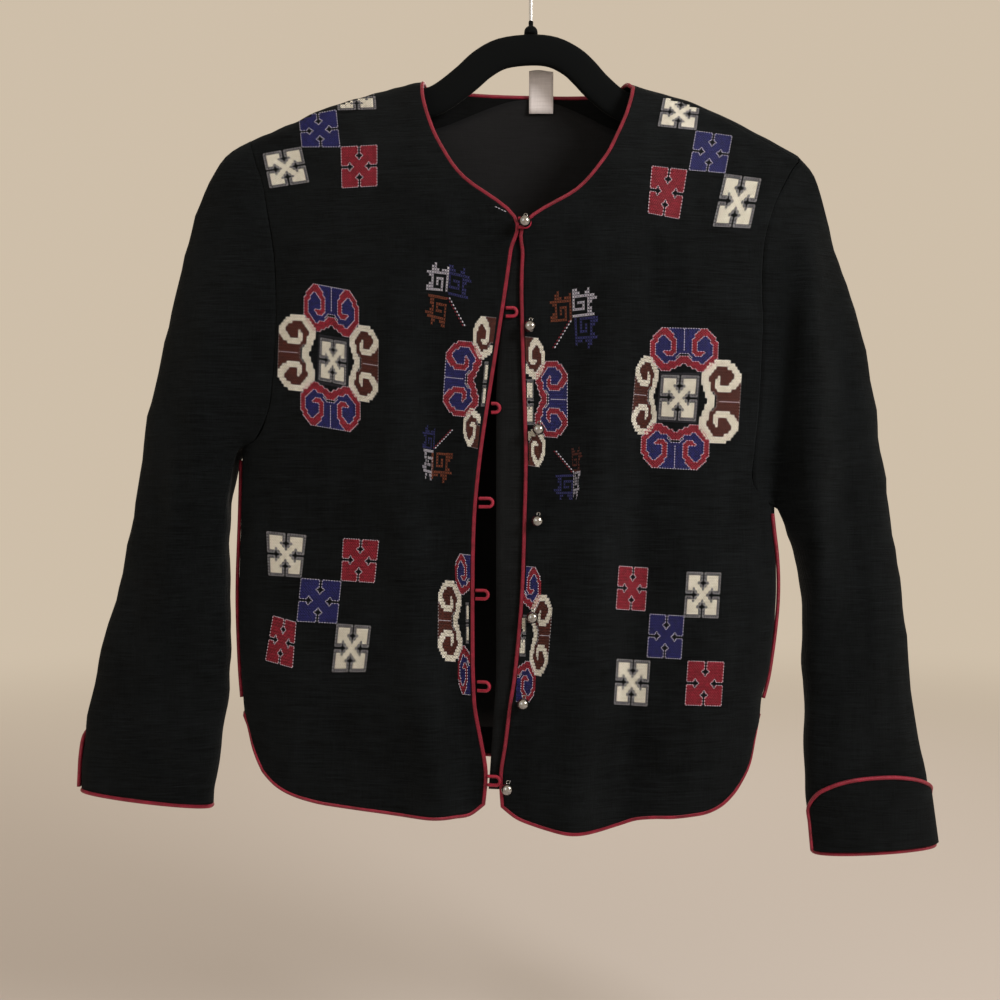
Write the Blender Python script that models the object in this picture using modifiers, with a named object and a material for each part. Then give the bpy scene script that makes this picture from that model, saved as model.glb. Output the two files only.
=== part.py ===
"""Hmong embroidered jacket on its hanger, right front at x < 0. Sizes are in millimetres, meshes in metres."""
import math
from collections import namedtuple

import bpy
from mathutils import Vector

MM = 0.001

# Driving sizes
CLOTH = 1.8  # outer cloth
THIN = 1.0  # lining and label
GAP = 0.3  # between neighbouring pieces
CORD = 1.5  # radius of the piping
LOOP = 1.3  # radius of the loop cord
BALL = 4.6  # radius of a button
FRONT_FULL = 45.0  # depth of the fronts at the middle
BACK_FULL = 40.0
RIDGE_R = 9.0  # rounding of the shoulder over the hanger
CUFF_HIGH = 57.0
WIRE = 1.6  # radius of the hook's wire
BEND = 22.0  # radius of the hook's bend
REST = 3.6  # from the shoulder line down to the top of the hanger
LAP_TOP, LAP_FOOT = -276.0, -707.0  # ends of the underlap behind the buttons

# Half widths of the body, by height
Side = namedtuple("Side", "z right left")
SIDES = [
    Side(-760, -228, 182), Side(-700, -228, 183), Side(-645, -231, 185), Side(-620, -233, 191),
    Side(-560, -235, 197), Side(-490, -233, 196), Side(-440, -232, 198), Side(-300, -232, 214),
    Side(-200, -240, 228), Side(-100, -242, 230),
]
# Top line of the shoulders
Ridge = namedtuple("Ridge", "x z")
RIDGES = [
    Ridge(-300, -236), Ridge(-230, -195), Ridge(-202, -183), Ridge(-172, -169), Ridge(-125, -154),
    Ridge(-87, -145), Ridge(-50, -135), Ridge(0, -132), Ridge(45, -136), Ridge(80, -147),
    Ridge(107, -155), Ridge(138, -165), Ridge(180, -186), Ridge(217, -206), Ridge(300, -262),
]
# Folds of the fronts: a line from its top to its foot, bent by a power, with a Gaussian section
Fold = namedtuple("Fold", "x_top z_top x_foot z_foot bend width out")
FOLDS = [
    Fold(-112, -215, -70, -735, 1.9, 20, 8.0),
    Fold(-82, -230, -46, -735, 1.9, 17, -5.0),
    Fold(-168, -330, -150, -735, 1.5, 24, -3.5),
    Fold(64, -190, 30, -740, 1.3, 22, 9.0),
    Fold(99, -230, 70, -740, 1.3, 19, -5.0),
    Fold(150, -300, 140, -740, 1.0, 24, 3.5),
]
# Folds of the sleeves, on the front unless back is 1; they fade out at both ends
SleeveFold = namedtuple("SleeveFold", "x_top z_top x_foot z_foot width out back")
SLEEVE_FOLDS = [
    SleeveFold(-240, -290, -300, -640, 19, 6.0, 0), SleeveFold(-262, -470, -286, -640, 13, -4.0, 0),
    SleeveFold(-280, -330, -300, -600, 20, 4.0, 1), SleeveFold(215, -240, 221, -575, 15, 13.0, 0),
    SleeveFold(247, -330, 258, -650, 16, -4.0, 0), SleeveFold(250, -330, 262, -650, 20, 5.0, 1),
]
BACK_FOLDS = [
    Fold(-100, -230, -120, -700, 1.0, 34, 3.5),
    Fold(0, -260, -6, -700, 1.0, 38, -3.0),
    Fold(95, -230, 100, -700, 1.0, 34, 3.5),
]

# Edges of the fronts, from the hem corner up: x and z, or over, how far past the shoulder line
Edge = namedtuple("Edge", "x z over", defaults=(None, None))
RIGHT_EDGE = [
    Edge(-39, -718), Edge(-36, -706), Edge(-38, -688), Edge(-43, -658), Edge(-47, -625), Edge(-47.5, -560),
    Edge(-46.5, -500), Edge(-42, -450), Edge(-34, -395), Edge(-27, -350), Edge(-20, -303), Edge(-15, -264),
]
RIGHT_NECK = [
    Edge(-15, -264), Edge(-28, -255), Edge(-48, -239), Edge(-66, -217), Edge(-78, -193), Edge(-85, -173),
    Edge(-88.5, -156), Edge(-88, over=0), Edge(-87, over=7),
]
RIGHT_HEM = [
    Edge(-39, -718), Edge(-47, -725), Edge(-67, -726), Edge(-116, -723.5), Edge(-166, -718), Edge(-196, -709),
    Edge(-212, -696),
]
RIGHT_VENT = [Edge(-212, -696), Edge(-219, -683), Edge(-226, -661), Edge(-230, -645)]
LEFT_EDGE = [
    Edge(-22, -719), Edge(-26, -709), Edge(-22, -690), Edge(-17, -650), Edge(-11, -605), Edge(-6, -540),
    Edge(-4, -470), Edge(-4, -430), Edge(-6, -370), Edge(-7, -310), Edge(-4, -268),
]
LEFT_NECK = [
    Edge(-4, -268), Edge(8, -259), Edge(21, -251), Edge(37, -241), Edge(53, -223), Edge(65, -202),
    Edge(75, -180), Edge(80.5, -163), Edge(83, over=-9),
]
LEFT_HEM = [
    Edge(-22, -719), Edge(-12, -727), Edge(8, -734), Edge(33, -738), Edge(58, -736), Edge(85, -729),
    Edge(117, -728), Edge(142, -724), Edge(159, -712),
]
LEFT_VENT = [Edge(159, -712), Edge(170, -697), Edge(177, -677), Edge(181, -660), Edge(183, -645)]
RIGHT_BACK_VENT = [Edge(-208, -684), Edge(-220, -674), Edge(-227, -660), Edge(-230, -645)]
LEFT_BACK_VENT = [Edge(162, -684), Edge(173, -674), Edge(180, -660), Edge(183, -645)]
BACK_HEM = [Edge(-208, -684), Edge(-185, -691), Edge(-100, -695), Edge(0, -696), Edge(90, -695),
            Edge(142, -691), Edge(162, -684)]
BACK_NECK = [
    Edge(-87, over=-7.3), Edge(-81, over=-10), Edge(-69, over=-15), Edge(-45, over=-20), Edge(0, over=-22),
    Edge(40, over=-21), Edge(58, over=-17.5), Edge(69, over=-13), Edge(77, over=-3), Edge(83, over=8.7),
]
# Armholes, from the underarm up
RIGHT_ARM = [
    Edge(-220, -436), Edge(-210, -420), Edge(-205, -400), Edge(-202, -365), Edge(-201, -330),
    Edge(-203, -290), Edge(-209, -255), Edge(-215, -225), Edge(-222, -207), Edge(-226, over=7),
]
RIGHT_BACK_ARM = [
    Edge(-222, -436), Edge(-213, -418), Edge(-209, -390), Edge(-206, -340), Edge(-207, -290),
    Edge(-211, -250), Edge(-218, -215), Edge(-226, over=-7.3),
]
LEFT_ARM = [
    Edge(177, -478), Edge(174, -455), Edge(177, -430), Edge(180, -390), Edge(182, -340), Edge(181, -300),
    Edge(186, -270), Edge(194, -245), Edge(207, -220), Edge(214, over=-12),
]
LEFT_BACK_ARM = [
    Edge(192, -455), Edge(190, -420), Edge(188, -380), Edge(189, -330), Edge(192, -290), Edge(197, -258),
    Edge(205, -226), Edge(212, over=-4), Edge(214, over=11.7),
]
UNDERARM = {"right": -441.0, "left": -486.0}
VENT_TOP = -645.0
# How far the left side seam turns to the front, in degrees, by height
Turn = namedtuple("Turn", "z left")
TURNS = [Turn(-760, 0), Turn(-600, 0), Turn(-530, 7), Turn(-486, 14), Turn(-400, 16)]

# Sleeve rings below the armhole: outer fold, inner fold, half depth, share of ellipse
Ring = namedtuple("Ring", "ox oz ix iz deep oval")
RIGHT_RINGS = [
    Ring(-245, -209, -241, -444, 26, 0.3), Ring(-262, -236, -243.5, -457, 27, 0.6),
    Ring(-275, -274, -244.5, -476, 27, 0.85), Ring(-286, -318, -244.5, -501, 26, 1),
    Ring(-297, -366, -245, -527, 25, 1), Ring(-307, -414, -245, -555, 24, 1),
    Ring(-315, -460, -245, -582, 23, 1), Ring(-322, -506, -245, -610, 22, 1),
    Ring(-332, -552, -246, -636, 21, 1), Ring(-343, -592, -249, -660, 20, 1),
    Ring(-352, -630, -252, -682, 19, 1), Ring(-358, -664, -255, -700, 18, 1),
    Ring(-361.5, -692, -257, -713, 17, 1), Ring(-362.5, -714, -258, -727, 16, 1),
]
LEFT_RINGS = [
    Ring(229, -222, 203.5, -491, 24, 0.3), Ring(237, -247, 206, -499, 25, 0.6),
    Ring(245, -280, 209, -510, 26, 0.85), Ring(257, -318, 214, -524, 26, 1),
    Ring(268, -360, 218.5, -543, 26, 1), Ring(276, -408, 221, -565, 25, 1),
    Ring(283, -452, 222, -590, 24, 1), Ring(290, -498, 222, -616, 23, 1),
    Ring(297, -544, 222, -642, 22, 1), Ring(302, -590, 222, -668, 21, 1),
    Ring(307, -634, 223, -694, 20, 1), Ring(313, -674, 224, -718, 19, 1),
    Ring(320, -714, 226, -742, 18, 1), Ring(326, -758, 228, -764, 17, 1),
]
# Where the cuff flaps lie: first and last line of the sleeve's ring, from its outer fold and front first
Flap = namedtuple("Flap", "first last foot")
FLAPS = {"right": Flap(17, 30, 34), "left": Flap(0, 14, 34)}

Button = namedtuple("Button", "x z shank")
BUTTONS = [
    Button(-6, -270, 5.0), Button(-2, -349, 2.2), Button(4.5, -428, 2.2), Button(4, -498, 2.2),
    Button(0, -572, 2.2), Button(-7, -638, 2.2), Button(-19, -704, 2.2),
]
Loop = namedtuple("Loop", "z root reach half lift")
LOOPS = [
    Loop(-269, 4.5, 13.5, 3.4, 3.4), Loop(-337, 4.5, 13, 3.2, 0), Loop(-411, 4.5, 11, 3.4, 0),
    Loop(-484, 3.7, 14.5, 3.2, 0), Loop(-555, 3.6, 13.5, 3.2, 0), Loop(-626, 4.5, 14, 3.4, 0),
    Loop(-699, 2.8, 12.5, 3.4, 2.5),
]


def smooth_table(rows, key, column):
    """A cubic through the rows, by slopes from their neighbours."""
    xs = [getattr(r, key) for r in rows]
    ys = [getattr(r, column) for r in rows]
    slopes = [0.0] * len(xs)
    for i in range(len(xs)):
        a, b = max(0, i - 1), min(len(xs) - 1, i + 1)
        slopes[i] = (ys[b] - ys[a]) / (xs[b] - xs[a])

    def at(x):
        x = min(max(x, xs[0]), xs[-1])
        i = 0
        while i < len(xs) - 2 and x > xs[i + 1]:
            i += 1
        h = xs[i + 1] - xs[i]
        t = (x - xs[i]) / h
        a, b = ys[i], ys[i + 1]
        return ((2 * t**3 - 3 * t**2 + 1) * a + (t**3 - 2 * t**2 + t) * h * slopes[i]
                + (3 * t**2 - 2 * t**3) * b + (t**3 - t**2) * h * slopes[i + 1])

    return at


side_right = smooth_table(SIDES, "z", "right")
side_left = smooth_table(SIDES, "z", "left")
turn_left = smooth_table(TURNS, "z", "left")
ridge = smooth_table(RIDGES, "x", "z")
QUARTER = RIDGE_R * math.pi / 2


def drop(over):
    """Height lost and side of a point that lies over mm from the shoulder line, along the cloth."""
    t = abs(over)
    return RIDGE_R * (1 - math.cos(t / RIDGE_R)) if t < QUARTER else RIDGE_R + t - QUARTER


def along(fall):
    """The way along the cloth from the shoulder line to a point that is fall mm below it."""
    fall = max(0.0, fall)
    return RIDGE_R * math.acos(1 - fall / RIDGE_R) if fall < RIDGE_R else QUARTER + fall - RIDGE_R


def folds(rows, x, z):
    total = 0.0
    for f in rows:
        t = min(max((f.z_top - z) / (f.z_top - f.z_foot), 0.0), 1.0)
        middle = f.x_top + (f.x_foot - f.x_top) * t**f.bend
        grow = min(1.0, t / 0.45)
        total += f.out * grow * grow * (3 - 2 * grow) * math.exp(-((x - middle) / f.width) ** 2)
    return total


def body(face, psi, over):
    """A point of the body. psi runs from the middle to the sides at +-90 degrees, and on round them; over is
    the way down from the shoulder line on the piece's own face, less than 0 beyond it."""
    z = -400.0
    for _ in range(12):
        middle = (side_right(z) + side_left(z)) / 2
        x = middle + (side_left(z) - side_right(z)) / 2 * math.sin(psi)
        z = ridge(x) - drop(over)
    u = min(1.0, abs(math.sin(psi)))
    fall = ridge(x) - z
    full = (FRONT_FULL if face < 0 else BACK_FULL) * (1 - 0.12 * min(1.0, max(0.0, (-600 - z) / 130)))
    bulge = full * max(0.0, 1 - u**2.6) ** (1 / 2.2)
    reach = 160 + 70 * min(1.0, max(0.0, (abs(x) - 90) / 120))
    s = 1 - max(0.0, 1 - fall / reach) ** 2.2
    round_r = math.sqrt(max(0.0, RIDGE_R**2 - (RIDGE_R - fall) ** 2)) if fall < RIDGE_R else RIDGE_R
    y = (1 - s) * round_r + s * bulge
    calm = (1 - u**4) * min(1.0, fall / 70)
    if face > 0:
        y += 13 * math.exp(-fall / 60) * math.cos(math.pi * min(0.5, abs(x) / 180)) ** 2 * min(1.0, fall / 6)
        y += folds(BACK_FOLDS, x, z) * calm
    else:
        y += folds(FOLDS, x, z) * calm
    sign = face * (1 if math.cos(psi) >= 0 else -1) * (1 if over >= 0 else -1)
    return Vector((x, sign * y, z))


def body_frame(face, psi, over):
    """A point of the body and its outward normal."""
    h, k = 0.012, 1.5
    p = body(face, psi, over)
    a = body(face, psi + h, over) - body(face, psi - h, over)
    b = body(face, psi, over + k) - body(face, psi, over - k)
    n = a.cross(b)
    n.normalize()
    return p, n if face > 0 else -n


def coordinates(row):
    """psi and over of a table row."""
    z = row.z if row.z is not None else ridge(row.x) - drop(row.over)
    middle = (side_right(z) + side_left(z)) / 2
    u = (row.x - middle) / ((side_left(z) - side_right(z)) / 2)
    psi = math.asin(min(1.0, max(-1.0, u)))
    return psi, (-row.over if row.over is not None else along(ridge(row.x) - z))


def rounded(points, steps=8):
    """A Catmull-Rom curve through pairs."""
    out = []
    for i in range(len(points) - 1):
        p0, p1, p2 = points[max(0, i - 1)], points[i], points[i + 1]
        p3 = points[min(len(points) - 1, i + 2)]
        for j in range(steps):
            t = j / steps
            out.append(tuple(
                0.5 * (2 * b + (c - a) * t + (2 * a - 5 * b + 4 * c - d) * t**2 + (3 * b - a - 3 * c + d) * t**3)
                for a, b, c, d in zip(p0, p1, p2, p3)))
    out.append(tuple(points[-1]))
    return out


def stations(face, pairs, fractions):
    """The pairs at fractions of the curve's length on the cloth."""
    places = [body(face, *p) for p in pairs]
    lengths = [0.0]
    for a, b in zip(places, places[1:]):
        lengths.append(lengths[-1] + (b - a).length)
    out = []
    for f in fractions:
        s = min(max(f, 0.0), 1.0) * lengths[-1]
        i = 0
        while i < len(pairs) - 2 and lengths[i + 1] < s:
            i += 1
        w = (s - lengths[i]) / max(1e-9, lengths[i + 1] - lengths[i])
        out.append(tuple(a + (b - a) * w for a, b in zip(pairs[i], pairs[i + 1])))
    return out


def even(n):
    return [i / n for i in range(n + 1)]


def chain(*parts):
    out = list(parts[0])
    for part in parts[1:]:
        out += part[1:]
    return out


def eased(pairs, reach):
    """The pairs drawn toward their neighbours, with the ends kept."""
    out = list(pairs)
    n = len(pairs) - 1
    for _ in range(reach):
        inner = [tuple(0.25 * a + 0.5 * b + 0.25 * c for a, b, c in zip(out[i - 1], out[i], out[i + 1]))
                 for i in range(1, n)]
        out = [out[0]] + inner + [out[-1]]
    return out


def blend(bottom, top, inner, outer):
    """A Coons patch between four edges, as rows of pairs. The corners of its sides fade quickly inward."""
    nu, nv = len(bottom) - 1, len(inner) - 1
    calm_in, calm_out = eased(inner, 14), eased(outer, 14)
    calm_low, calm_top = eased(bottom, 8), eased(top, 8)
    rows = []
    for j in range(nv + 1):
        v = j / nv
        row = []
        for i in range(nu + 1):
            c = i / nu
            row.append(tuple(
                (1 - v) * calm_low[i][k] + v * calm_top[i][k] + (1 - c) * calm_in[j][k] + c * calm_out[j][k]
                - (1 - c) * (1 - v) * bottom[0][k] - c * (1 - v) * bottom[nu][k]
                - (1 - c) * v * top[0][k] - c * v * top[nu][k]
                + (1 - c) ** 3 * (inner[j][k] - calm_in[j][k]) + c**3 * (outer[j][k] - calm_out[j][k])
                + (1 - v) ** 4 * (bottom[i][k] - calm_low[i][k]) + v**4 * (top[i][k] - calm_top[i][k])
                for k in (0, 1)))
        rows.append(row)
    return rows


# Rows that crowd at the shoulder line, where the cloth turns over the hanger
TOP_STEPS = [0.0, 0.30, 0.52, 0.68, 0.80, 0.87, 0.915, 0.957, 1.0]
FREE, SEAM, LOW, COLUMNS = 3, 8, 7, 14
SEAM_COLUMNS = 6
NECK_STEPS = [0.0, 0.05, 0.12, 0.27, 0.46, 0.65, 0.79, 0.87, 0.935, 1.0]
NECK_COLUMNS = len(NECK_STEPS) - 1


def seam_line(face, side, inset):
    """The side seam's pairs, from the vent up to the underarm."""
    s = -1 if side == "right" else 1
    out = []
    for i in range(SEAM + 1):
        z = VENT_TOP + (UNDERARM[side] - VENT_TOP) * i / SEAM
        turn = math.radians(turn_left(z)) if side == "left" else 0.0
        psi = math.pi / 2 - turn - inset if face < 0 else math.pi / 2 + turn - inset
        x = (side_right(z) + side_left(z)) / 2 + s * (side_left(z) - side_right(z)) / 2 * math.sin(psi)
        out.append((s * psi, along(ridge(x) - z)))
    return out


def outer_edge(face, side, vent, arm):
    """The pairs of a panel's outer edge: vent, side seam and armhole."""
    seam = seam_line(face, side, 0.0034)
    free = stations(face, rounded([coordinates(r) for r in vent[:-1]] + [seam[0]]), even(FREE))
    hole = rounded([seam[-1]] + [coordinates(r) for r in arm])
    low = stations(face, hole, [0.62 * f for f in even(LOW)])
    high = stations(face, hole, [0.62 + 0.38 * f for f in TOP_STEPS])
    return chain(free, seam, low, high)


def front_pairs(side):
    edge, neck, hem, vent, arm = {
        "right": (RIGHT_EDGE, RIGHT_NECK, RIGHT_HEM, RIGHT_VENT, RIGHT_ARM),
        "left": (LEFT_EDGE, LEFT_NECK, LEFT_HEM, LEFT_VENT, LEFT_ARM),
    }[side]
    curve = lambda rows: rounded([coordinates(r) for r in rows])
    inner = chain(stations(-1, curve(edge), even(FREE + SEAM + LOW)), stations(-1, curve(neck), TOP_STEPS))
    outer = outer_edge(-1, side, vent, arm)
    bottom = stations(-1, curve(hem), even(COLUMNS))
    top = stations(-1, [tuple(a + (b - a) * t for a, b in zip(inner[-1], outer[-1])) for t in even(30)],
                   even(COLUMNS))
    return blend(bottom, top, inner, outer)


def back_pairs():
    curve = lambda rows: rounded([coordinates(r) for r in rows])
    right = outer_edge(1, "right", RIGHT_BACK_VENT, RIGHT_BACK_ARM)
    left = outer_edge(1, "left", LEFT_BACK_VENT, LEFT_BACK_ARM)
    neck = stations(1, curve(BACK_NECK), NECK_STEPS)
    span = lambda a, b: stations(1, [tuple(p + (q - p) * t for p, q in zip(a, b)) for t in even(30)],
                                 even(SEAM_COLUMNS))
    top = chain(span(right[-1], neck[0]), neck, span(neck[-1], left[-1]))
    n = len(top) - 1
    bottom = stations(1, curve(BACK_HEM), even(n))
    return blend(bottom, top, right, left)


def frames(face, pairs):
    return [[body_frame(face, *p) for p in row] for row in pairs]


def link(name, points, faces, paint, parts):
    mesh = bpy.data.meshes.new(name)
    mesh.from_pydata([tuple(p * MM) for p in points], [], faces)
    mesh.shade_smooth()
    obj = bpy.data.objects.new(name, mesh)
    parts.objects.link(obj)
    obj.data.materials.append(paint)
    return obj


def quads(rows, cols, closed=False):
    """Faces of a grid of points; closed joins its columns to a tube."""
    out = []
    for j in range(rows - 1):
        for i in range(cols if closed else cols - 1):
            a, b = j * cols + i, j * cols + (i + 1) % cols
            out.append((a, b, b + cols, a + cols))
    return out


def sheet(name, grid, thick, paint, parts, shift=0.0):
    """A wall of even thickness through a grid of places and normals, moved out by shift."""
    points = [p + n * shift for row in grid for p, n in row]
    obj = link(name, points, quads(len(grid), len(grid[0])), paint, parts)
    wall = obj.modifiers.new("wall", "SOLIDIFY")
    wall.thickness = thick * MM
    wall.offset = 0.0
    wall.use_even_offset = True
    return obj


def loft(name, grid, paint, parts, closed=False):
    """A wall of the outer cloth between two faces, each off a grid along the garment's own normals, so that
    neighbours meet square at their seams. Closed joins its columns to a tube."""
    rows, cols = len(grid), len(grid[0])
    points = [p + n * (side * CLOTH / 2) for side in (1, -1) for row in grid for p, n in row]
    outer = quads(rows, cols, closed)
    across = rows * cols
    rim = [j * cols for j in range(rows - 1, 0, -1)] + list(range(cols))
    rim += [j * cols + cols - 1 for j in range(1, rows)] + [across - 1 - i for i in range(1, cols - 1)]
    faces = outer + [(a + across, d + across, c + across, b + across) for a, b, c, d in outer]
    if closed:
        ends = [list(range(cols)) + [0], [across - 1 - i for i in range(cols)] + [across - 1]]
    else:
        ends = [rim[:] + rim[:1]]
    for end in ends:
        faces += [(b, a, a + across, b + across) for a, b in zip(end, end[1:])]
    # Faces run outward: the outer face looks along its normals
    middle = outer[len(outer) // 2]
    a, b, c, _ = (points[k] for k in middle)
    if (b - a).cross(c - b).dot(grid[middle[0] // cols][middle[0] % cols][1]) < 0:
        faces = [(face[0], *face[:0:-1]) for face in faces]
    return link(name, points, faces, paint, parts)


def cord(name, path, radius, paint, parts, closed=False, sides=1, swell=None):
    """A round cord or wire through points, its radius scaled by swell where given."""
    curve = bpy.data.curves.new(name, "CURVE")
    curve.dimensions = "3D"
    curve.bevel_depth = radius * MM
    curve.bevel_resolution = sides
    curve.use_fill_caps = not closed
    spline = curve.splines.new("POLY")
    spline.points.add(len(path) - 1)
    for k, place in enumerate(path):
        spline.points[k].co = (*(place * MM), 1.0)
        spline.points[k].radius = swell[k] if swell else 1.0
    spline.use_cyclic_u = closed
    obj = bpy.data.objects.new(name, curve)
    parts.objects.link(obj)
    obj.data.materials.append(paint)
    return obj


def edge_cord(edge, hand, out=CORD + GAP):
    """Places out mm beyond an edge of points and normals, on its hand side, mitred at its corners."""
    path = []
    n = len(edge)
    for i in range(n):
        p, normal = edge[i]
        ways = []
        for a, b in ((i - 1, i), (i, i + 1)):
            if a >= 0 and b < n:
                ways.append((edge[b][0] - edge[a][0]).cross(normal).normalized() * hand)
        if len(ways) == 2:
            way = (ways[0] + ways[1]) / (1 + max(-0.4, ways[0].dot(ways[1])))
        else:
            way = ways[0]
        path.append(p + way * out)
    return path


def sleeve_folds(p, s):
    """Depth added to a place on a sleeve, s being its share of the way to the front."""
    total = 0.0
    for f in SLEEVE_FOLDS:
        t = (f.z_top - p.z) / (f.z_top - f.z_foot)
        if 0 < t < 1 and (s < 0) == bool(f.back) and (p.x < 0) == (f.x_top < 0):
            middle = f.x_top + (f.x_foot - f.x_top) * t
            fade = min(1.0, 4 * t * (1 - t) * 1.4)
            total += f.out * fade * math.exp(-((p.x - middle) / f.width) ** 2) * min(1.0, abs(s) * 1.6)
    return total if s < 0 else -total


def sleeve_grid(front, back, rings):
    """Rings of the sleeve, of points and normals. Each starts at the outer fold and runs down the front."""
    low = FREE + SEAM
    head = [front[j][-1] for j in range(len(front) - 1, low - 1, -1)]
    tail = [back[j] for j in range(low, len(back))]
    ring = [((head[0][0] + tail[-1][0]) / 2, (head[0][1] + tail[-1][1]).normalized())]
    ring += head[1:-1]
    ring.append(((head[-1][0] + tail[0][0]) / 2, (head[-1][1] + tail[0][1]).normalized()))
    ring += tail[1:-1]
    half = len(head) - 1
    count = 2 * half
    lengths = [0.0]
    for i in range(count):
        lengths.append(lengths[-1] + (ring[(i + 1) % count][0] - ring[i][0]).length)
    theta = []
    for i in range(count):
        if i <= half:
            theta.append(math.pi * lengths[i] / lengths[half])
        else:
            theta.append(math.pi + math.pi * (lengths[i] - lengths[half]) / (lengths[count] - lengths[half]))
    top, under = ring[0][0], ring[half][0]
    places = []
    for r in rings:
        o, i_ = Vector((r.ox, 0, r.oz)), Vector((r.ix, 0, r.iz))
        row = []
        for k in range(count):
            c = math.cos(theta[k])
            w = (1 - c) / 2
            oval = (o + i_) / 2 + (o - i_) / 2 * c
            s = math.sin(theta[k])
            oval.y = -r.deep * math.copysign(abs(s) ** 0.8, s)
            moved = ring[k][0] + (o - top).lerp(i_ - under, w)
            p = moved.lerp(oval, r.oval)
            row.append(p + Vector((0, sleeve_folds(p, s), 0)))
        places.append(row)
    rows = [[p for p, _ in ring]] + places

    def normals(row, up, down):
        """Outward normals of a ring, lengthened at its folds so that an offset wall keeps its thickness."""
        line = []
        middle = sum(row, Vector()) / count
        for k in range(count):
            a = down[k] - up[k]
            before = a.cross(row[k] - row[k - 1]).normalized()
            n = (before + a.cross(row[(k + 1) % count] - row[k]).normalized()).normalized()
            n = n / max(0.6, n.dot(before))
            line.append(n if n.dot(row[k] - middle) > 0 else -n)
        return line

    grid = []
    for j, row in enumerate(rows):
        up, down = rows[max(0, j - 1)], rows[min(len(rows) - 1, j + 1)]
        line = normals(row, up, down)
        if j < 2:
            line = [(line[k - 1] + line[k] * 2 + line[(k + 1) % count]) / 4 for k in range(count)]
            line = [n.normalized() for n in line]
        grid.append(list(zip(row, line)))
    # The first ring lies inside the armhole, GAP off its edge
    start = []
    for k in range(count):
        p, n = ring[k]
        own = grid[0][k][1]
        way = (ring[(k + 1) % count][0] - ring[k - 1][0]).cross(n).normalized()
        way *= 1 if top.x < 0 else -1
        start.append((p + way * (GAP + 1.5 * abs(own.normalized().dot(way))), own))
    grid[0] = start
    return grid


def sleeve_at(grid, line, up):
    """A place on a line of the sleeve, up mm above its end."""
    count = len(grid[0])
    column = [grid[j][line % count] for j in range(len(grid) - 1, -1, -1)]
    s = 0.0
    for (p, n), (q, m) in zip(column, column[1:]):
        d = (q - p).length
        if s + d >= up:
            w = (up - s) / d
            return p.lerp(q, w), n.lerp(m, w).normalized()
        s += d
    return column[-1]


def flap_grid(grid, flap, rows, lift):
    last = grid[-1]
    count = len(last)
    lines = range(flap.first, flap.last + 1)
    lengths = [0.0]
    for a in list(lines)[1:]:
        lengths.append(lengths[-1] + (last[a % count][0] - last[(a - 1) % count][0]).length)
    out = []
    for j in range(rows + 1):
        row = []
        for line, s in zip(lines, lengths):
            c = s / lengths[-1]
            high = flap.foot + (CUFF_HIGH - flap.foot) * max(0.0, 1 - abs(2 * c - 1) ** 2.4) ** 0.6
            p, n = sleeve_at(grid, line, 0.4 + high * j / rows)
            row.append((p + n * lift, n))
        out.append(row)
    return out


def turned(name, profile, place, axis, steps, paint, parts):
    """A profile of radius and height, turned about an axis from a place."""
    mesh = bpy.data.meshes.new(name)
    points = [(r * MM, 0, h * MM) for r, h in reversed(profile)]
    mesh.from_pydata(points, [(i, i + 1) for i in range(len(points) - 1)], [])
    obj = bpy.data.objects.new(name, mesh)
    obj.location = place * MM
    obj.rotation_mode = "QUATERNION"
    obj.rotation_quaternion = axis.to_track_quat("Z", "Y")
    parts.objects.link(obj)
    obj.data.materials.append(paint)
    spin = obj.modifiers.new("turn", "SCREW")
    spin.steps = spin.render_steps = steps
    spin.use_merge_vertices = True
    spin.merge_threshold = 0.00002
    spin.use_smooth_shade = True
    return obj


def front_place(x, z):
    return body_frame(-1, *coordinates(Edge(x, z)))


def edge_x(rows, z):
    """x of a front edge at a height."""
    places = [(r.z, r.x) for r in rows]
    places.sort()
    for (z0, x0), (z1, x1) in zip(places, places[1:]):
        if z0 <= z <= z1:
            return x0 + (x1 - x0) * (z - z0) / (z1 - z0)
    return places[-1][1]


def clear():
    for obj in list(bpy.data.objects):
        bpy.data.objects.remove(obj, do_unlink=True)


def material(name, colour, rough, metal=0.0):
    m = bpy.data.materials.new(name)
    m.use_nodes = True
    b = m.node_tree.nodes["Principled BSDF"]
    b.inputs["Base Color"].default_value = (*colour, 1)
    b.inputs["Roughness"].default_value = rough
    b.inputs["Metallic"].default_value = metal
    return m


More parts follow.
